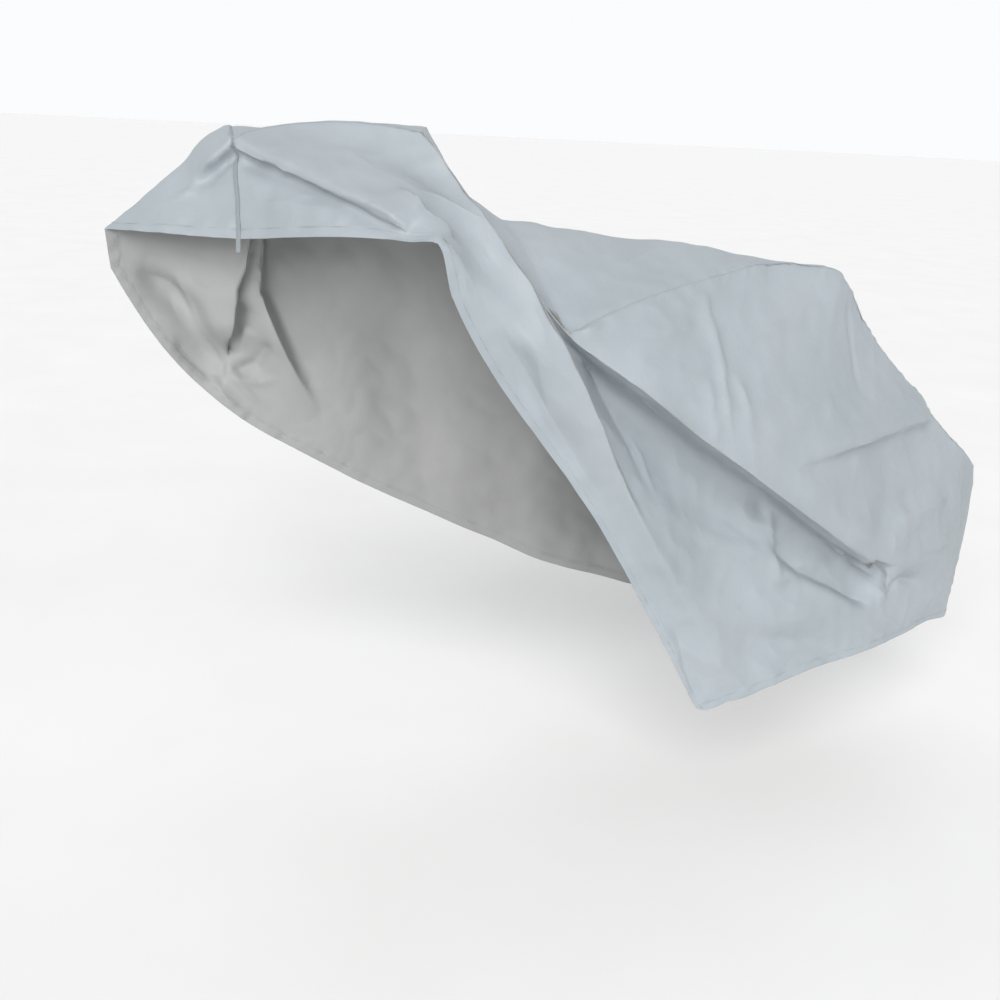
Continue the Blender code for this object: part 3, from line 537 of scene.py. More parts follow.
def shared_normals(far, near, seam_rows, passes):
    """Normals of both panels, alike where they meet at the top seam and down the rear. seam_rows are
    the near panel's rows that the far panel's rows meet."""
    far_n, near_n = normals(far, passes), normals(near, passes)
    joined = unit(far_n[:, -1] + at_rows(near_n[:, 0], seam_rows))
    far_rear_n = unit(far_n[-1] + by_height(far[-1, :, 2], near[-1], near_n[-1]))
    near_rear_n = unit(near_n[-1] + by_height(near[-1, :, 2], far[-1], far_n[-1]))
    far_n[:, -1] = joined
    near_n[:, 0] = unit(at_rows(joined, np.interp(np.arange(len(near)), seam_rows, np.arange(len(far)))))
    far_n[-1] = far_rear_n
    near_n[-1] = near_rear_n
    return far_n, near_n


def at_rows(values, rows):
    """Values of a line read off at rows that lie between its own."""
    return np.stack([np.interp(rows, np.arange(len(values)), values[:, k]) for k in range(3)], axis=1)


def run_lengths(grid):
    """Distance of each point from the first row, along its own column."""
    steps = np.linalg.norm(np.diff(grid, axis=0), axis=2)
    return np.concatenate([np.zeros((1, grid.shape[1])), np.cumsum(steps, axis=0)])


def lay_hem_rows(grid, kept):
    """Moves the first rows to the hem's own distances from the free edge. Rows from kept on stay."""
    grid = grid.copy()
    runs = run_lengths(grid[: kept + 1])
    for j in range(grid.shape[1]):
        line, run = grid[: kept + 1, j].copy(), runs[:, j]
        # In a short stretch the hem's rows close up, so that some of it is left for the others
        hem = HEM_ROWS * min(1.0, 0.7 * run[-1] / HEM_ROWS[-1])
        at = np.concatenate([hem, np.linspace(hem[-1], run[-1], kept + 2 - len(hem))[1:]])
        for axis in range(3):
            grid[: kept + 1, j, axis] = np.interp(at, run, line[:, axis])
    return grid


def on_cloth(grid, n, path):
    """The fold's path laid on the cloth: its points are moved straight in or out to the surface."""
    path = np.array(path, float)
    quarters = (0.0, 0.25, 0.5, 0.75)
    fine = np.concatenate([path[:-1] + (path[1:] - path[:-1]) * t for t in quarters])
    order = np.argsort(np.concatenate([np.arange(len(path) - 1) + t for t in quarters]))
    fine = np.concatenate([fine[order], path[-1:]])
    flat, flat_n = grid.reshape(-1, 3), n.reshape(-1, 3)
    for k, point in enumerate(fine):
        nearest = np.argmin(((flat - point) ** 2).sum(axis=1))
        fine[k] = point + ((flat[nearest] - point) @ flat_n[nearest]) * flat_n[nearest]
    return fine


def nearest_on_path(grid, path):
    """For each point: the way to it from the nearest place on the path, the path's direction there,
    and how far along the path that place is, from 0 to 1."""
    runs = path[1:] - path[:-1]
    lengths = np.maximum(np.linalg.norm(runs, axis=1), 1e-6)
    best = np.full(grid.shape[:2], np.inf)
    off = np.zeros(grid.shape)
    direction = np.zeros(grid.shape)
    share = np.zeros(grid.shape[:2])
    for i, run in enumerate(runs):
        along = np.clip(((grid - path[i]) @ run) / lengths[i] ** 2, 0.0, 1.0)
        way = grid - (path[i] + along[..., None] * run)
        distance = np.linalg.norm(way, axis=2)
        closer = distance < best
        best = np.where(closer, distance, best)
        off[closer] = way[closer]
        direction[closer] = run / lengths[i]
        share[closer] = ((lengths[:i].sum() + along * lengths[i]) / lengths.sum())[closer]
    return off, direction, share


def eased(value):
    """From 0 to 1 with a soft start and end."""
    value = np.clip(value, 0.0, 1.0)
    return value * value * (3 - 2 * value)


def folded(grid, n, folds, panel):
    """The grid with the panel's folds raised on it."""
    moved = grid.copy()
    for fold in folds:
        if panel not in fold.panels:
            continue
        off, direction, share = nearest_on_path(grid, on_cloth(grid, n, fold.path))
        sideways = np.cross(n, direction)
        leftwards = (sideways * off).sum(axis=2)
        width = np.where(leftwards > 0, fold.left, fold.right)
        fade = eased(share / fold.rise) * eased((1.0 - share) / fold.fade)
        s = np.linalg.norm(off, axis=2) / width
        shape = (1.0 - fold.crisp) * np.exp(-s * s) + fold.crisp * np.exp(-1.6 * s)
        raised = (fade * shape)[..., None]
        moved += fold.height * raised * n - fold.lean * raised * sideways
    return moved


def crumpled(points, crumple):
    """A smooth random height for each point, the same in every run."""
    rng = np.random.default_rng(crumple.seed)
    total = np.zeros(points.shape[:-1])
    for _ in range(WAVES_IN_CRUMPLE):
        direction = unit(rng.normal(size=3))
        pitch = crumple.size * rng.uniform(0.7, 1.4)
        total += np.sin(points @ direction * (2 * math.pi / pitch) + rng.uniform(0, 2 * math.pi))
    total /= math.sqrt(WAVES_IN_CRUMPLE / 2)
    return crumple.height * (0.6 - np.abs(total) if crumple.ridged else total)


def part_edge(edge, inside, beyond):
    """An edge moved half the seam's gap, square to itself, away from the panel beyond it."""
    run = unit(np.gradient(edge, axis=0))
    across = unit(inside - edge) - unit(beyond - edge)
    square = across - (across * run).sum(axis=1, keepdims=True) * run
    return edge + SEAM_GAP / 2 * unit(square)


def seam_relief(along, away):
    """Groove and puckers of an overlocked seam, by the way along it and the distance from it."""
    groove = -SEAM_GROOVE * np.exp(-((away / SEAM_GROOVE_WIDTH) ** 2))
    turn = 2 * math.pi * along / SEAM_PUCKER_LENGTH
    wave = np.sin(turn) + 0.6 * np.sin(turn / 1.7 + 1.3)
    return groove + SEAM_PUCKER_HEIGHT / 1.6 * wave * np.exp(-((away / SEAM_PUCKER_REACH) ** 2))


def slide_rows(grid, row, path, start, end):
    """Slides the rows between start and end along the cloth until row lies on the path, which crosses
    the columns, so that a crisp fold follows one row. Past the path's ends the row eases back."""
    runs = run_lengths(grid[start : end + 1])
    off, _, share = nearest_on_path(grid[start : end + 1], np.array(path))
    distance = np.linalg.norm(off, axis=2)
    closest = distance.argmin(axis=0)
    columns = np.arange(grid.shape[1])
    crosses = (share[closest, columns] > 0.01) & (share[closest, columns] < 0.99)
    wanted = runs[closest, columns] / runs[-1]
    own = runs[row - start] / runs[-1]
    found = np.interp(columns, columns[crosses], wanted[crosses])
    beyond = np.abs(columns - np.clip(columns, columns[crosses][0], columns[crosses][-1]))
    found = own + (found - own) * np.exp(-((beyond / ROWS_EASE) ** 2))
    # Its places are averaged over seven columns, and it never meets the rows at start and end
    found = np.clip(np.convolve(np.pad(found, 3, mode="edge"), np.ones(7) / 7, "valid"), 0.06, 0.94)
    moved = grid.copy()
    for j in columns:
        run = runs[:, j] / runs[-1, j]
        before = run[: row - start + 1] * found[j] / own[j]
        after = 1.0 - (1.0 - run[row - start + 1 :]) * (1.0 - found[j]) / (1.0 - own[j])
        at = np.concatenate([before, after]) * runs[-1, j]
        for axis in range(3):
            moved[start : end + 1, j, axis] = np.interp(at, runs[:, j], grid[start : end + 1, j, axis])
    return moved


def draw_rows(grid, row, reach):
    """Draws the rows near one row closer to it, for a crisp fold there."""
    runs = run_lengths(grid)
    moved = grid.copy()
    for j in range(grid.shape[1]):
        from_row = runs[:, j] - runs[row, j]
        most = min(reach, 0.8 * runs[row, j], 0.8 * (runs[-1, j] - runs[row, j]))
        share = np.abs(from_row) / most
        at = np.where(share < 1.0, from_row * (ROW_PULL + (1.0 - ROW_PULL) * share), from_row) + runs[row, j]
        for axis in range(3):
            moved[:, j, axis] = np.interp(at, runs[:, j], grid[:, j, axis])
    return moved


def turned(grid):
    """The grid with its rows and columns exchanged."""
    return grid.transpose(1, 0, 2)


def plain_grids():
    """Points of both panels before any fold, and the near panel's rows that the far panel's rows meet."""
    far = panel_grid(far_lines(), FAR_ROW_STEPS, FAR_STEPS, FAR_TURN)
    near = panel_grid(near_lines(), NEAR_ROW_STEPS, NEAR_STEPS, NEAR_TURN)
    close_rear(far)
    close_rear(near)
    far_rows = np.concatenate([[0], np.cumsum(FAR_ROW_STEPS)])
    near_rows = np.concatenate([[0], np.cumsum(NEAR_ROW_STEPS)])
    first_pleat = far_rows[HOOD] + FIRST_PLEAT_ROW
    second_pleat = far_rows[HOOD] + SECOND_PLEAT_ROW
    far = slide_rows(far, first_pleat, FIRST_PLEAT, far_rows[LIP], far_rows[HOOD] + 6)
    far = slide_rows(far, second_pleat, SECOND_PLEAT, first_pleat + 4, far_rows[PLEAT_ROOT])
    for row in (far_rows[LIP], first_pleat, second_pleat):
        far = draw_rows(far, row, FAR_REACH)
    near = draw_rows(near, near_rows[LIP], LIP_REACH)
    near = draw_rows(near, near_rows[PLEAT_CREST], BAND_REACH)
    brow = NEAR_STEPS[0]
    columns = slide_rows(turned(near), CREASE_COLUMN, REAR_CREASE, 0, brow)
    columns = draw_rows(columns, CREASE_COLUMN, CREASE_REACH)
    near = turned(draw_rows(columns, brow, RIDGE_REACH))
    far, near = lay_hem_rows(far, far_rows[LIP]), lay_hem_rows(near, near_rows[LIP])
    far = turned(lay_hem_rows(turned(far), FAR_STEPS[0]))
    near = turned(lay_hem_rows(turned(near[:, ::-1]), NEAR_STEPS[-1]))[:, ::-1]
    seam_rows = np.interp(run_lengths(far)[:, -1], run_lengths(near)[:, 0], np.arange(len(near)))
    return far, near, seam_rows


def raise_folds(far, near, seam_rows, folds, passes):
    """Both panels with the folds raised on them, and the far panel's seam laid on the near panel's."""
    far_n, near_n = shared_normals(far, near, seam_rows, passes)
    far = folded(far, far_n, folds, "f")
    near = folded(near, near_n, folds, "n")
    far[:, -1] = at_rows(near[:, 0], seam_rows)
    return far, near


def crumple_cloth(far, near, seam_rows):
    """Both panels with their crumples, and with the relief of the seam at the top and down the rear."""
    far_n, near_n = shared_normals(far, near, seam_rows, CRUMPLE_PASSES)
    near_along = run_lengths(near)[:, :1]
    far_along = np.interp(seam_rows, np.arange(len(near)), near_along[:, 0])[:, None]
    far_away = run_lengths(turned(far[:, ::-1])).T[:, ::-1]
    near_away = run_lengths(turned(near)).T
    found = []
    for grid, n, along, away in ((far, far_n, far_along, far_away), (near, near_n, near_along, near_away)):
        height = sum(crumpled(grid, crumple) for crumple in CRUMPLES)
        height = height + eased((along - SEAM_START) / SEAM_EASE) * seam_relief(along, away)
        from_rear = run_lengths(grid[::-1])[::-1]
        low = eased((SEAM_REAR_TOP - grid[..., 2]) / SEAM_EASE)
        height = height + seam_relief(-grid[..., 2], from_rear) * low
        found.append(grid + height[..., None] * n)
    return found


def part_seam(far, near, seam_rows):
    """Moves the edges of the panels apart by the seam's gap, at the top and down the rear."""
    far_rows = np.interp(np.arange(len(near)), seam_rows, np.arange(len(far)))
    seam = near[:, 0].copy()
    far_rear, near_rear = far[-1].copy(), near[-1].copy()
    far_beyond, near_beyond = at_rows(near[:, 1], seam_rows), at_rows(far[:, -2], far_rows)
    far[:, -1] = part_edge(at_rows(seam, seam_rows), far[:, -2], far_beyond)
    near[:, 0] = part_edge(seam, near[:, 1], near_beyond)
    far[-1] = part_edge(far_rear, far[-2], by_height(far_rear[:, 2], near_rear, near[-2]))
    near[-1] = part_edge(near_rear, near[-2], by_height(near_rear[:, 2], far_rear, far[-2]))


def make_grids():
    """Points and normals of the middle of the cloth in both panels."""
    far, near, seam_rows = plain_grids()
    far, near = raise_folds(far, near, seam_rows, MAIN_FOLDS, MAIN_PASSES)
    far, near = raise_folds(far, near, seam_rows, FINE_FOLDS, FINE_PASSES)
    far, near = crumple_cloth(far, near, seam_rows)
    part_seam(far, near, seam_rows)
    far_n, near_n = shared_normals(far, near, seam_rows, FACE_PASSES)
    return far, far_n, near, near_n


def hem_relief(grid, from_front, from_bottom):
    """How far the outer and the inner face stand off the middle of the cloth, for the turned hems."""
    outer = np.full(grid.shape[:2], CLOTH_THICKNESS / 2)
    inner = np.full(grid.shape[:2], CLOTH_THICKNESS / 2)
    # Grows down the front hems and to the rear along the bottom ones
    turn = 2 * math.pi * (grid[..., 0] * 0.8 - grid[..., 2] * 0.9) / PUCKER_LENGTH
    wave = np.sin(turn) + 0.7 * np.sin(turn / 2.3 + 1)
    doubled = np.zeros(grid.shape[:2])
    for away in (from_front, from_bottom):
        doubled = np.maximum(doubled, eased((HEM_WIDTH + HEM_STEP / 2 - away) / HEM_STEP))
        from_stitch = away - HEM_STITCH_AT
        groove = STITCH_GROOVE * np.exp(-((from_stitch / STITCH_GROOVE_WIDTH) ** 2))
        puckers = PUCKER_HEIGHT / 1.7 * wave * np.exp(-((from_stitch / PUCKER_REACH) ** 2))
        outer += puckers - groove
        inner -= puckers + groove
    # Most of the second layer shows on the inside, to which the hem is turned
    return outer + 0.3 * HEM_LAYER * doubled, inner + HEM_LAYER * doubled


def cloth_sheet(name, grid, n, from_front, from_bottom, materials):
    """A closed sheet around a grid of points, its outside and inside in their own finishes, with a
    UV map in metres of cloth."""
    rows, columns = grid.shape[:2]
    outer_off, inner_off = hem_relief(grid, from_front, from_bottom)
    layers = [place(grid + outer_off[..., None] * n), place(grid - inner_off[..., None] * n)]
    points = np.concatenate([layer.reshape(-1, 3) for layer in layers])
    index = np.arange(rows * columns).reshape(rows, columns)
    a, b = index[:-1, :-1], index[:-1, 1:]
    c, d = index[1:, 1:], index[1:, :-1]
    second = rows * columns
    outer = np.stack([a, b, c, d], axis=2).reshape(-1, 4)
    inner = np.stack([a, d, c, b], axis=2).reshape(-1, 4) + second
    rim = np.concatenate([index[:, 0], index[-1, 1:], index[-2::-1, -1], index[0, -2:0:-1]])
    after = np.roll(rim, -1)
    edge = np.stack([rim, after, after + second, rim + second], axis=1)
    faces = np.concatenate([outer, inner, edge])
    mesh = bpy.data.meshes.new(name)
    mesh.from_pydata(points.tolist(), [], faces.tolist())
    for material in materials:
        mesh.materials.append(material)
    inside = np.zeros(len(faces), np.int32)
    inside[len(outer) : len(outer) + len(inner)] = 1
    mesh.polygons.foreach_set("material_index", inside)
    across = run_lengths(turned(grid)).T
    along = np.broadcast_to(run_lengths(grid)[:, :: columns - 1].mean(axis=1, keepdims=True), across.shape)
    flat = np.stack([across, along], axis=2).reshape(-1, 2)
    flat = np.concatenate([flat, flat])
    corners = np.empty(len(mesh.loops), np.int32)
    mesh.loops.foreach_get("vertex_index", corners)
    mesh.uv_layers.new(name="cloth").data.foreach_set("uv", flat[corners].ravel())
    mesh.shade_smooth()
    mesh.set_sharp_from_angle(angle=CLOTH_SHARP)
    return in_scene(name, mesh)


def in_scene(name, mesh):
    """A new object of the scene with this mesh."""
    obj = bpy.data.objects.new(name, mesh)
    bpy.context.scene.collection.objects.link(obj)
    return obj


# The tape's section round from its near edge: across in half widths, and up in thicknesses. The two
# dips beside its middle are the rows of stitching.
TAPE_PROFILE = (
    (-1.0, 0.25), (-0.9, 0.0), (0.9, 0.0), (1.0, 0.25), (1.0, 0.75), (0.86, 1.0), (0.62, 1.05), (0.5, 0.80),
    (0.38, 1.05), (0.0, 1.15), (-0.38, 1.05), (-0.5, 0.80), (-0.62, 1.05), (-0.86, 1.0), (-1.0, 0.75),
)
# A stitch from end to end: how far along, its radius in thread radii, and how far it stands up
STITCH_SECTIONS = ((0.0, 0.55, -0.6), (0.2, 1.0, 0.5), (0.8, 1.0, 0.5), (1.0, 0.55, -0.6))


def tape(name, points, n, material):
    """The binding over the front seam: a flat tape with rounded edges and a sewn channel, and a loose
    tail past the hem."""
    run = unit(np.gradient(points, axis=0))
    droop = np.array([0.0, 0.0, -TAPE_DROOP])
    tail = [points[0] - run[0] * TAPE_TAIL * t + droop * t * t for t in (1.0, 0.75, 0.5, 0.25)]
    points = np.concatenate([tail, points])
    n = np.concatenate([n[:1]] * len(tail) + [n])
    run = unit(np.gradient(points, axis=0))
    side = unit(np.cross(n, run))
    lift = CLOTH_THICKNESS / 2 + TAPE_LIFT
    bm = bmesh.new()
    rings = []
    for point, out, beside in zip(points, n, side):
        places = [
            place(point + beside * across * TAPE_WIDTH / 2 + out * (lift + up * TAPE_THICKNESS))
            for across, up in TAPE_PROFILE
        ]
        rings.append([bm.verts.new(corner) for corner in places])
    for ring, following in zip(rings, rings[1:]):
        for k in range(len(ring)):
            after = (k + 1) % len(ring)
            bm.faces.new((ring[k], ring[after], following[after], following[k]))
    bm.faces.new(rings[0])
    bm.faces.new(rings[-1])
    bmesh.ops.recalc_face_normals(bm, faces=bm.faces)
    mesh = bpy.data.meshes.new(name)
    bm.to_mesh(mesh)
    bm.free()
    mesh.materials.append(material)
    mesh.shade_smooth()
    mesh.set_sharp_from_angle(angle=TAPE_SHARP)
    return in_scene(name, mesh)


def threads(name, stitches, material):
    """Short stitches of thread, each from one hole to the next, standing up in the middle."""
    sides = THREAD_SIDES
    angles = [2 * math.pi * k / sides for k in range(sides)]
    ring = [(math.cos(angle), math.sin(angle)) for angle in angles]
    points, faces = [], []
    for start, end, out in stitches:
        run = unit(end - start)
        side = np.cross(run, out)
        first = len(points)
        for t, radius, rise in STITCH_SECTIONS:
            middle = start + (end - start) * t + out * rise * THREAD_RADIUS
            points += [middle + (side * a + out * b) * radius * THREAD_RADIUS for a, b in ring]
        last = len(points) - sides
        for base in range(first, last, sides):
            for k in range(sides):
                m = (k + 1) % sides
                faces.append((base + k, base + m, base + sides + m, base + sides + k))
        faces.append(tuple(range(first + sides - 1, first - 1, -1)))
        faces.append(tuple(range(last, last + sides)))
    mesh = bpy.data.meshes.new(name)
    mesh.from_pydata([tuple(place(p)) for p in points], [], faces)
    bm = bmesh.new()
    bm.from_mesh(mesh)
    bmesh.ops.recalc_face_normals(bm, faces=bm.faces)
    bm.to_mesh(mesh)
    bm.free()
    mesh.materials.append(material)
    mesh.shade_smooth()
    return in_scene(name, mesh)


def spaced(line, values, pitch):
    """Points and their values at even spacing along a line."""
    run = np.concatenate([[0.0], np.cumsum(np.linalg.norm(np.diff(line, axis=0), axis=1))])
    at = np.arange(pitch / 2, run[-1], pitch)
    both = np.concatenate([line, values], axis=1)
    found = np.stack([np.interp(at, run, both[:, k]) for k in range(both.shape[1])], axis=1)
    return found[:, :3], unit(found[:, 3:6])


def running_stitches(line, n, face):
    """A row of plain stitches along a line of the cloth, at the given distance from its middle."""
    points, out = spaced(line, n, STITCH_PITCH)
    run = unit(np.gradient(points, axis=0))
    found = []
    for point, up, way in zip(points, out, run):
        middle = point + up * face
        found.append((middle - way * STITCH_LENGTH / 2, middle + way * STITCH_LENGTH / 2, up))
    return found


def overlock_stitches(line, n, face):
    """Slanting stitches across a seam, at the given distance from the middle of the cloth."""
    points, out = spaced(line, n, OVERLOCK_PITCH)
    run = unit(np.gradient(points, axis=0))
    found = []
    for point, up, way in zip(points, out, run):
        side = unit(np.cross(up, way))
        middle = point + up * face
        slant = way * OVERLOCK_PITCH * OVERLOCK_SLANT
        found.append((middle - side * OVERLOCK_REACH - slant, middle + side * OVERLOCK_REACH + slant, up))
    return found


def linear(code):
    """An sRGB hex colour as linear values."""
    channels = [int(code[k : k + 2], 16) / 255 for k in (1, 3, 5)]
    return [c / 12.92 if c <= 0.04045 else ((c + 0.055) / 1.055) ** 2.4 for c in channels] + [1.0]


def add(material, kind, links=(), **settings):
    """Adds a node. A setting names a property or an input socket, and links join inputs to outputs."""
    node = material.node_tree.nodes.new("ShaderNode" + kind)
    for key, value in settings.items():
        if hasattr(node, key):
            setattr(node, key, value)
        else:
            node.inputs[key.replace("_", " ")].default_value = value
    for socket, source in links:
        material.node_tree.links.new(source, node.inputs[socket])
    return node


def new_material(name):
    """A material, its shader, and the place on the object as a texture vector."""
    material = bpy.data.materials.new(name)
    material.use_nodes = True
    place_on = add(material, "TexCoord").outputs["Object"]
    return material, material.node_tree.nodes["Principled BSDF"], [("Vector", place_on)]


def two_tone(material, shader, source, light, dark, ends=(0.0, 1.0)):
    """Colours the shader from dark to light by the source, between its two ends."""
    ramp = add(material, "ValToRGB", [("Fac", source)])
    for element, position, code in zip(ramp.color_ramp.elements, ends, (dark, light)):
        element.position = position
        element.color = linear(code)
    material.node_tree.links.new(ramp.outputs["Color"], shader.inputs["Base Color"])


def coated_cloth(name, light, dark, roughness, sheen, strength):
    """Plain-woven polyester with a thin coating: the coating gives a satin sheen that runs softly over
    the folds, and the weave and small crumples break it up."""
    material, shader, on_object = new_material(name)
    # Colour drifts over a hand's width, as the coating is thicker or thinner
    drift = add(material, "TexNoise", on_object, Scale=5.0, Detail=4.0, Roughness=0.55)
    two_tone(material, shader, drift.outputs["Fac"], light, dark, (0.32, 0.68))
    # Threads lie 0.25 mm apart on the real cloth and are drawn 2 mm apart, so that they show
    on_cloth_map = [("Vector", add(material, "UVMap", uv_map="cloth").outputs["UV"])]
    warp = add(material, "TexWave", on_cloth_map, bands_direction="X", Scale=157.0)
    weft = add(material, "TexWave", on_cloth_map, bands_direction="Y", Scale=157.0)
    threads_over = [(0, warp.outputs["Fac"]), (1, weft.outputs["Fac"])]
    weave = add(material, "Math", threads_over, operation="MULTIPLY")
    crush = add(material, "TexNoise", on_object, Scale=26.0, Detail=5.0, Roughness=0.6)
    crumples = add(material, "Bump", [("Height", crush.outputs["Fac"])], Strength=strength, Distance=0.004)
    bump = add(material, "Bump", [("Height", weave.outputs[0]), ("Normal", crumples.outputs["Normal"])],
               Strength=0.20, Distance=0.0003)
    material.node_tree.links.new(bump.outputs["Normal"], shader.inputs["Normal"])
    # The coating is a little duller in specks about a centimetre across
    speck = add(material, "TexNoise", on_object, Scale=90.0, Detail=3.0, Roughness=0.6)
    gloss = add(material, "MapRange", [("Value", speck.outputs["Fac"])],
                To_Min=roughness - 0.06, To_Max=roughness + 0.08)
    material.node_tree.links.new(gloss.outputs["Result"], shader.inputs["Roughness"])
    shader.inputs["Sheen Weight"].default_value = sheen
    shader.inputs["Sheen Roughness"].default_value = 0.35
    return material


def woven_tape(name, light, dark):
    """Polyester binding tape: a matt ribbed weave, its colour flecked a little lighter and darker."""
    material, shader, on_object = new_material(name)
    fluff = add(material, "TexNoise", on_object, Scale=400.0, Detail=2.0)
    two_tone(material, shader, fluff.outputs["Fac"], light, dark)
    # Ribs of the tape stand about 1 mm apart
    ribs = add(material, "TexWave", on_object, bands_direction="Z", Scale=310.0, Distortion=1.0)
    bump = add(material, "Bump", [("Height", ribs.outputs["Fac"])], Strength=0.35, Distance=0.0004)
    material.node_tree.links.new(bump.outputs["Normal"], shader.inputs["Normal"])
    shader.inputs["Roughness"].default_value = 0.7
    shader.inputs["Sheen Weight"].default_value = 0.2
    return material


def polyester_thread(name, light, dark):
    """Twisted sewing thread: matt, with the gaps between its strands painted slightly darker as shade."""
    material, shader, on_object = new_material(name)
    # Strands turn about every 0.7 mm
    twist = add(material, "TexWave", on_object, bands_direction="DIAGONAL", Scale=450.0)
    # The twist colours the thread too: painted shade darkens the gaps between the strands.
    two_tone(material, shader, twist.outputs["Fac"], light, dark)
    bump = add(material, "Bump", [("Height", twist.outputs["Fac"])], Strength=0.4, Distance=0.0001)
    material.node_tree.links.new(bump.outputs["Normal"], shader.inputs["Normal"])
    shader.inputs["Roughness"].default_value = 0.6
    return material


# The camera, in front of the cover and to its near side, above its middle: place, turn in radians,
# and lens in millimetres
CAMERA_PLACE = (-1.11541, -1.39956, 0.20745)
CAMERA_YAW, CAMERA_PITCH, CAMERA_ROLL = 0.398891, -0.359633, 0.055599
LENS, SENSOR = 36.6505, 36.0
# The white backdrop of the studio stands behind the cover, this way
BACKDROP_WAY = (0.36, 0.93, 0.0)
FLOOR_HALF = 60.0


def make_camera():
    """Stands where the photo was taken from."""
    yaw, pitch, roll = CAMERA_YAW, CAMERA_PITCH, CAMERA_ROLL
    forward = Vector((math.sin(yaw) * math.cos(pitch), math.cos(yaw) * math.cos(pitch), math.sin(pitch)))
    level = forward.cross(Vector((0, 0, 1))).normalized()
    above = level.cross(forward)
    right = math.cos(roll) * level + math.sin(roll) * above
    up = -math.sin(roll) * level + math.cos(roll) * above
    data = bpy.data.cameras.new("camera")
    data.lens = LENS
    data.sensor_width = SENSOR
    data.dof.use_dof = False
    camera = bpy.data.objects.new("camera", data)
    bpy.context.scene.collection.objects.link(camera)
    turn = Matrix((right, up, -forward)).transposed().to_4x4()
    camera.matrix_world = Matrix.Translation(CAMERA_PLACE) @ turn
    bpy.context.scene.camera = camera


def area_light(name, location, target, size, energy, colour):
    """A round soft light that faces the target."""
    data = bpy.data.lights.new(name, "AREA")
    data.shape = "DISK"
    data.size = size
    data.energy = energy
    data.color = colour
    light = bpy.data.objects.new(name, data)
    light.location = location
    light.rotation_euler = (Vector(target) - Vector(location)).to_track_quat("-Z", "Y").to_euler()
    bpy.context.scene.collection.objects.link(light)


def sun_light(name, towards, spread, strength, colour):
    """A light far away in the direction towards, as a large soft box gives on the whole cover."""
    data = bpy.data.lights.new(name, "SUN")
    data.angle = spread
    data.energy = strength
    data.color = colour
    light = bpy.data.objects.new(name, data)
    light.rotation_euler = Vector(towards).to_track_quat("Z", "Y").to_euler()
    bpy.context.scene.collection.objects.link(light)


def painted_floor(name, light, dark):
    """Matt floor paint, faintly mottled."""
    material, shader, on_object = new_material(name)
    mottle = add(material, "TexNoise", on_object, Scale=3.0, Detail=4.0)
    two_tone(material, shader, mottle.outputs["Fac"], light, dark)
    shader.inputs["Roughness"].default_value = 0.85
    return material


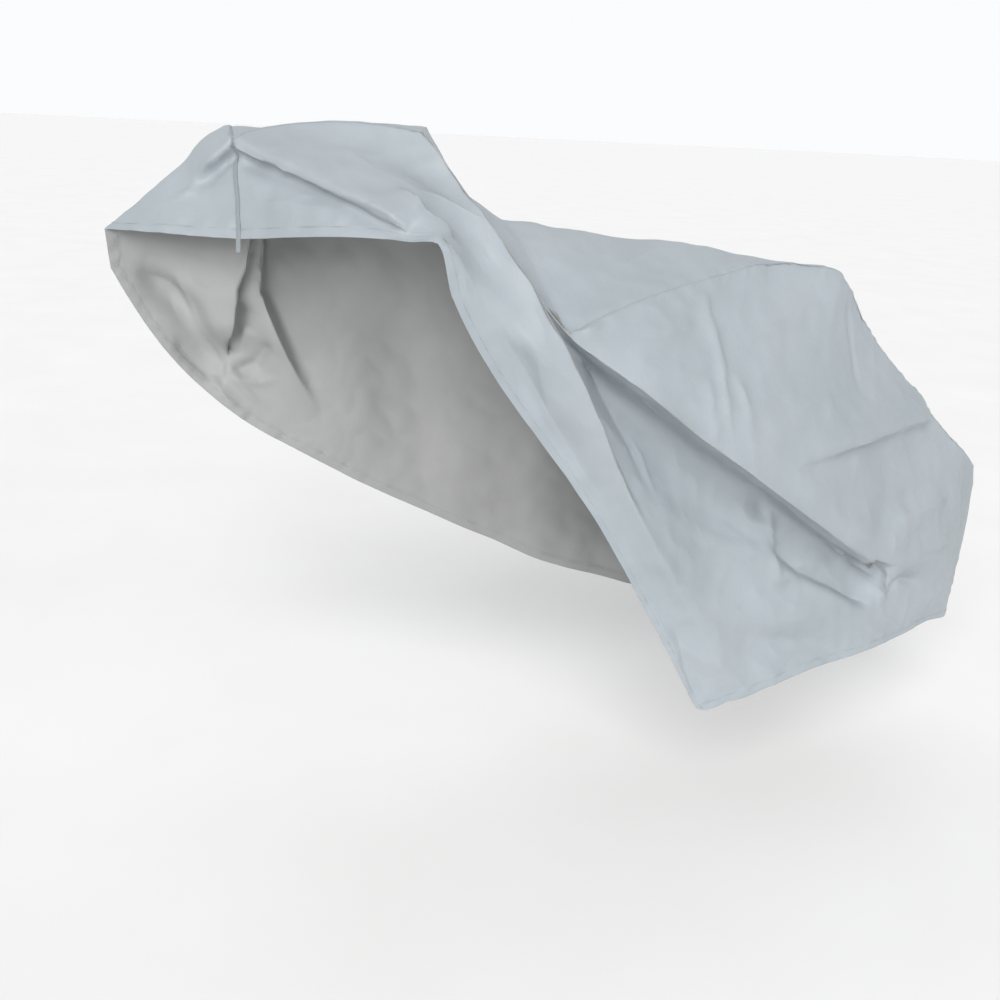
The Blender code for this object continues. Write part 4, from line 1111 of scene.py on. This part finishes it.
def make_studio():
    """A plain pale floor, a soft key light high on the front, soft fill from the near side, and a world
    that is brightest at the backdrop."""
    ways = ((-1, -1), (1, -1), (1, 1), (-1, 1))
    corners = [(x * FLOOR_HALF, y * FLOOR_HALF, -REST_HEIGHT) for x, y in ways]
    mesh = bpy.data.meshes.new("floor")
    mesh.from_pydata(corners, [], [(0, 1, 2, 3)])
    mesh.materials.append(painted_floor("painted_floor", "#e4e4e4", "#dcdcdb"))
    in_scene("floor", mesh)
    sun_light("key", (-0.46, -0.72, 0.55), 0.80, 3.2, (1.0, 0.995, 0.985))
    sun_light("side", (0.45, -0.80, 0.45), 0.60, 0.4, (0.97, 0.985, 1.0))
    area_light("inside_fill", (-0.9, -2.4, -0.3), (-0.2, 0.2, -0.2), 1.4, 9.0, (1.0, 0.99, 0.97))
    world = bpy.data.worlds.new("studio")
    world.use_nodes = True
    background = world.node_tree.nodes["Background"]
    background.inputs["Color"].default_value = linear("#fbfcfd")
    way = add(world, "TexCoord")
    level = add(world, "VectorMath", [(0, way.outputs["Generated"])], operation="DOT_PRODUCT")
    level.inputs[1].default_value = BACKDROP_WAY
    fade = add(world, "MapRange", [("Value", level.outputs["Value"])], From_Min=-0.1, From_Max=0.45,
               To_Min=0.42, To_Max=1.0)
    world.node_tree.links.new(fade.outputs["Result"], background.inputs["Strength"])
    bpy.context.scene.world = world
    bpy.context.scene.view_settings.view_transform = "Standard"


def main():
    """Builds the scene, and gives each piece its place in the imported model."""
    bpy.ops.object.select_all(action="DESELECT")
    make_camera()
    outside = coated_cloth("coated_polyester_outside", "#959ca2", "#8b9398", 0.50, 0.05, 0.35)
    # The inside is a warmer, less blue grey than the coated outside, and its colour is also painted darker
    # as the shade that falls inside the cover.
    inside = coated_cloth("coated_polyester_inside_with_painted_shade", "#919292", "#878888", 0.62, 0.03, 0.20)
    ribbed = woven_tape("polyester_binding_tape", "#858d92", "#737b80")
    thread = polyester_thread("polyester_sewing_thread", "#9ca4a8", "#868e93")
    far, far_n, near, near_n = make_grids()
    far_bottom = run_lengths(turned(far)).T
    near_bottom = run_lengths(turned(near[:, ::-1])).T[:, ::-1]
    far_cloth = cloth_sheet("far_cloth", far, far_n, run_lengths(far), far_bottom, (outside, inside))
    near_cloth = cloth_sheet("near_cloth", near, near_n, run_lengths(near), near_bottom, (outside, inside))
    taped = slice(0, sum(NEAR_ROW_STEPS[:TAPE_SECTIONS]) - 1)
    seam_tape = tape("seam_tape", near[taped, 0], near_n[taped, 0], ribbed)
    stitch_row = int(np.argmin(np.abs(HEM_ROWS - HEM_STITCH_AT)))
    face = CLOTH_THICKNESS / 2
    behind = slice(taped.stop + 4, None)
    seam_stitches = overlock_stitches(near[behind, 0], near_n[behind, 0], face)
    seam_stitches += overlock_stitches(near[-1], near_n[-1], face)
    hem_stitches = []
    for grid, n, bottom in ((far, far_n, stitch_row), (near, near_n, -1 - stitch_row)):
        for side in (face, -face - HEM_LAYER):
            hem_stitches += running_stitches(grid[stitch_row], n[stitch_row], side)
            hem_stitches += running_stitches(grid[:, bottom], n[:, bottom], side)
    seam_thread = threads("seam_stitching", seam_stitches, thread)
    hem_thread = threads("hem_stitching", hem_stitches, thread)
    for piece in (far_cloth, near_cloth, seam_tape, seam_thread, hem_thread):
        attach(piece, "root")
    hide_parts("far_panel")
    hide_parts("near_panel")
    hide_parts("seam_binding")
    make_studio()


main()
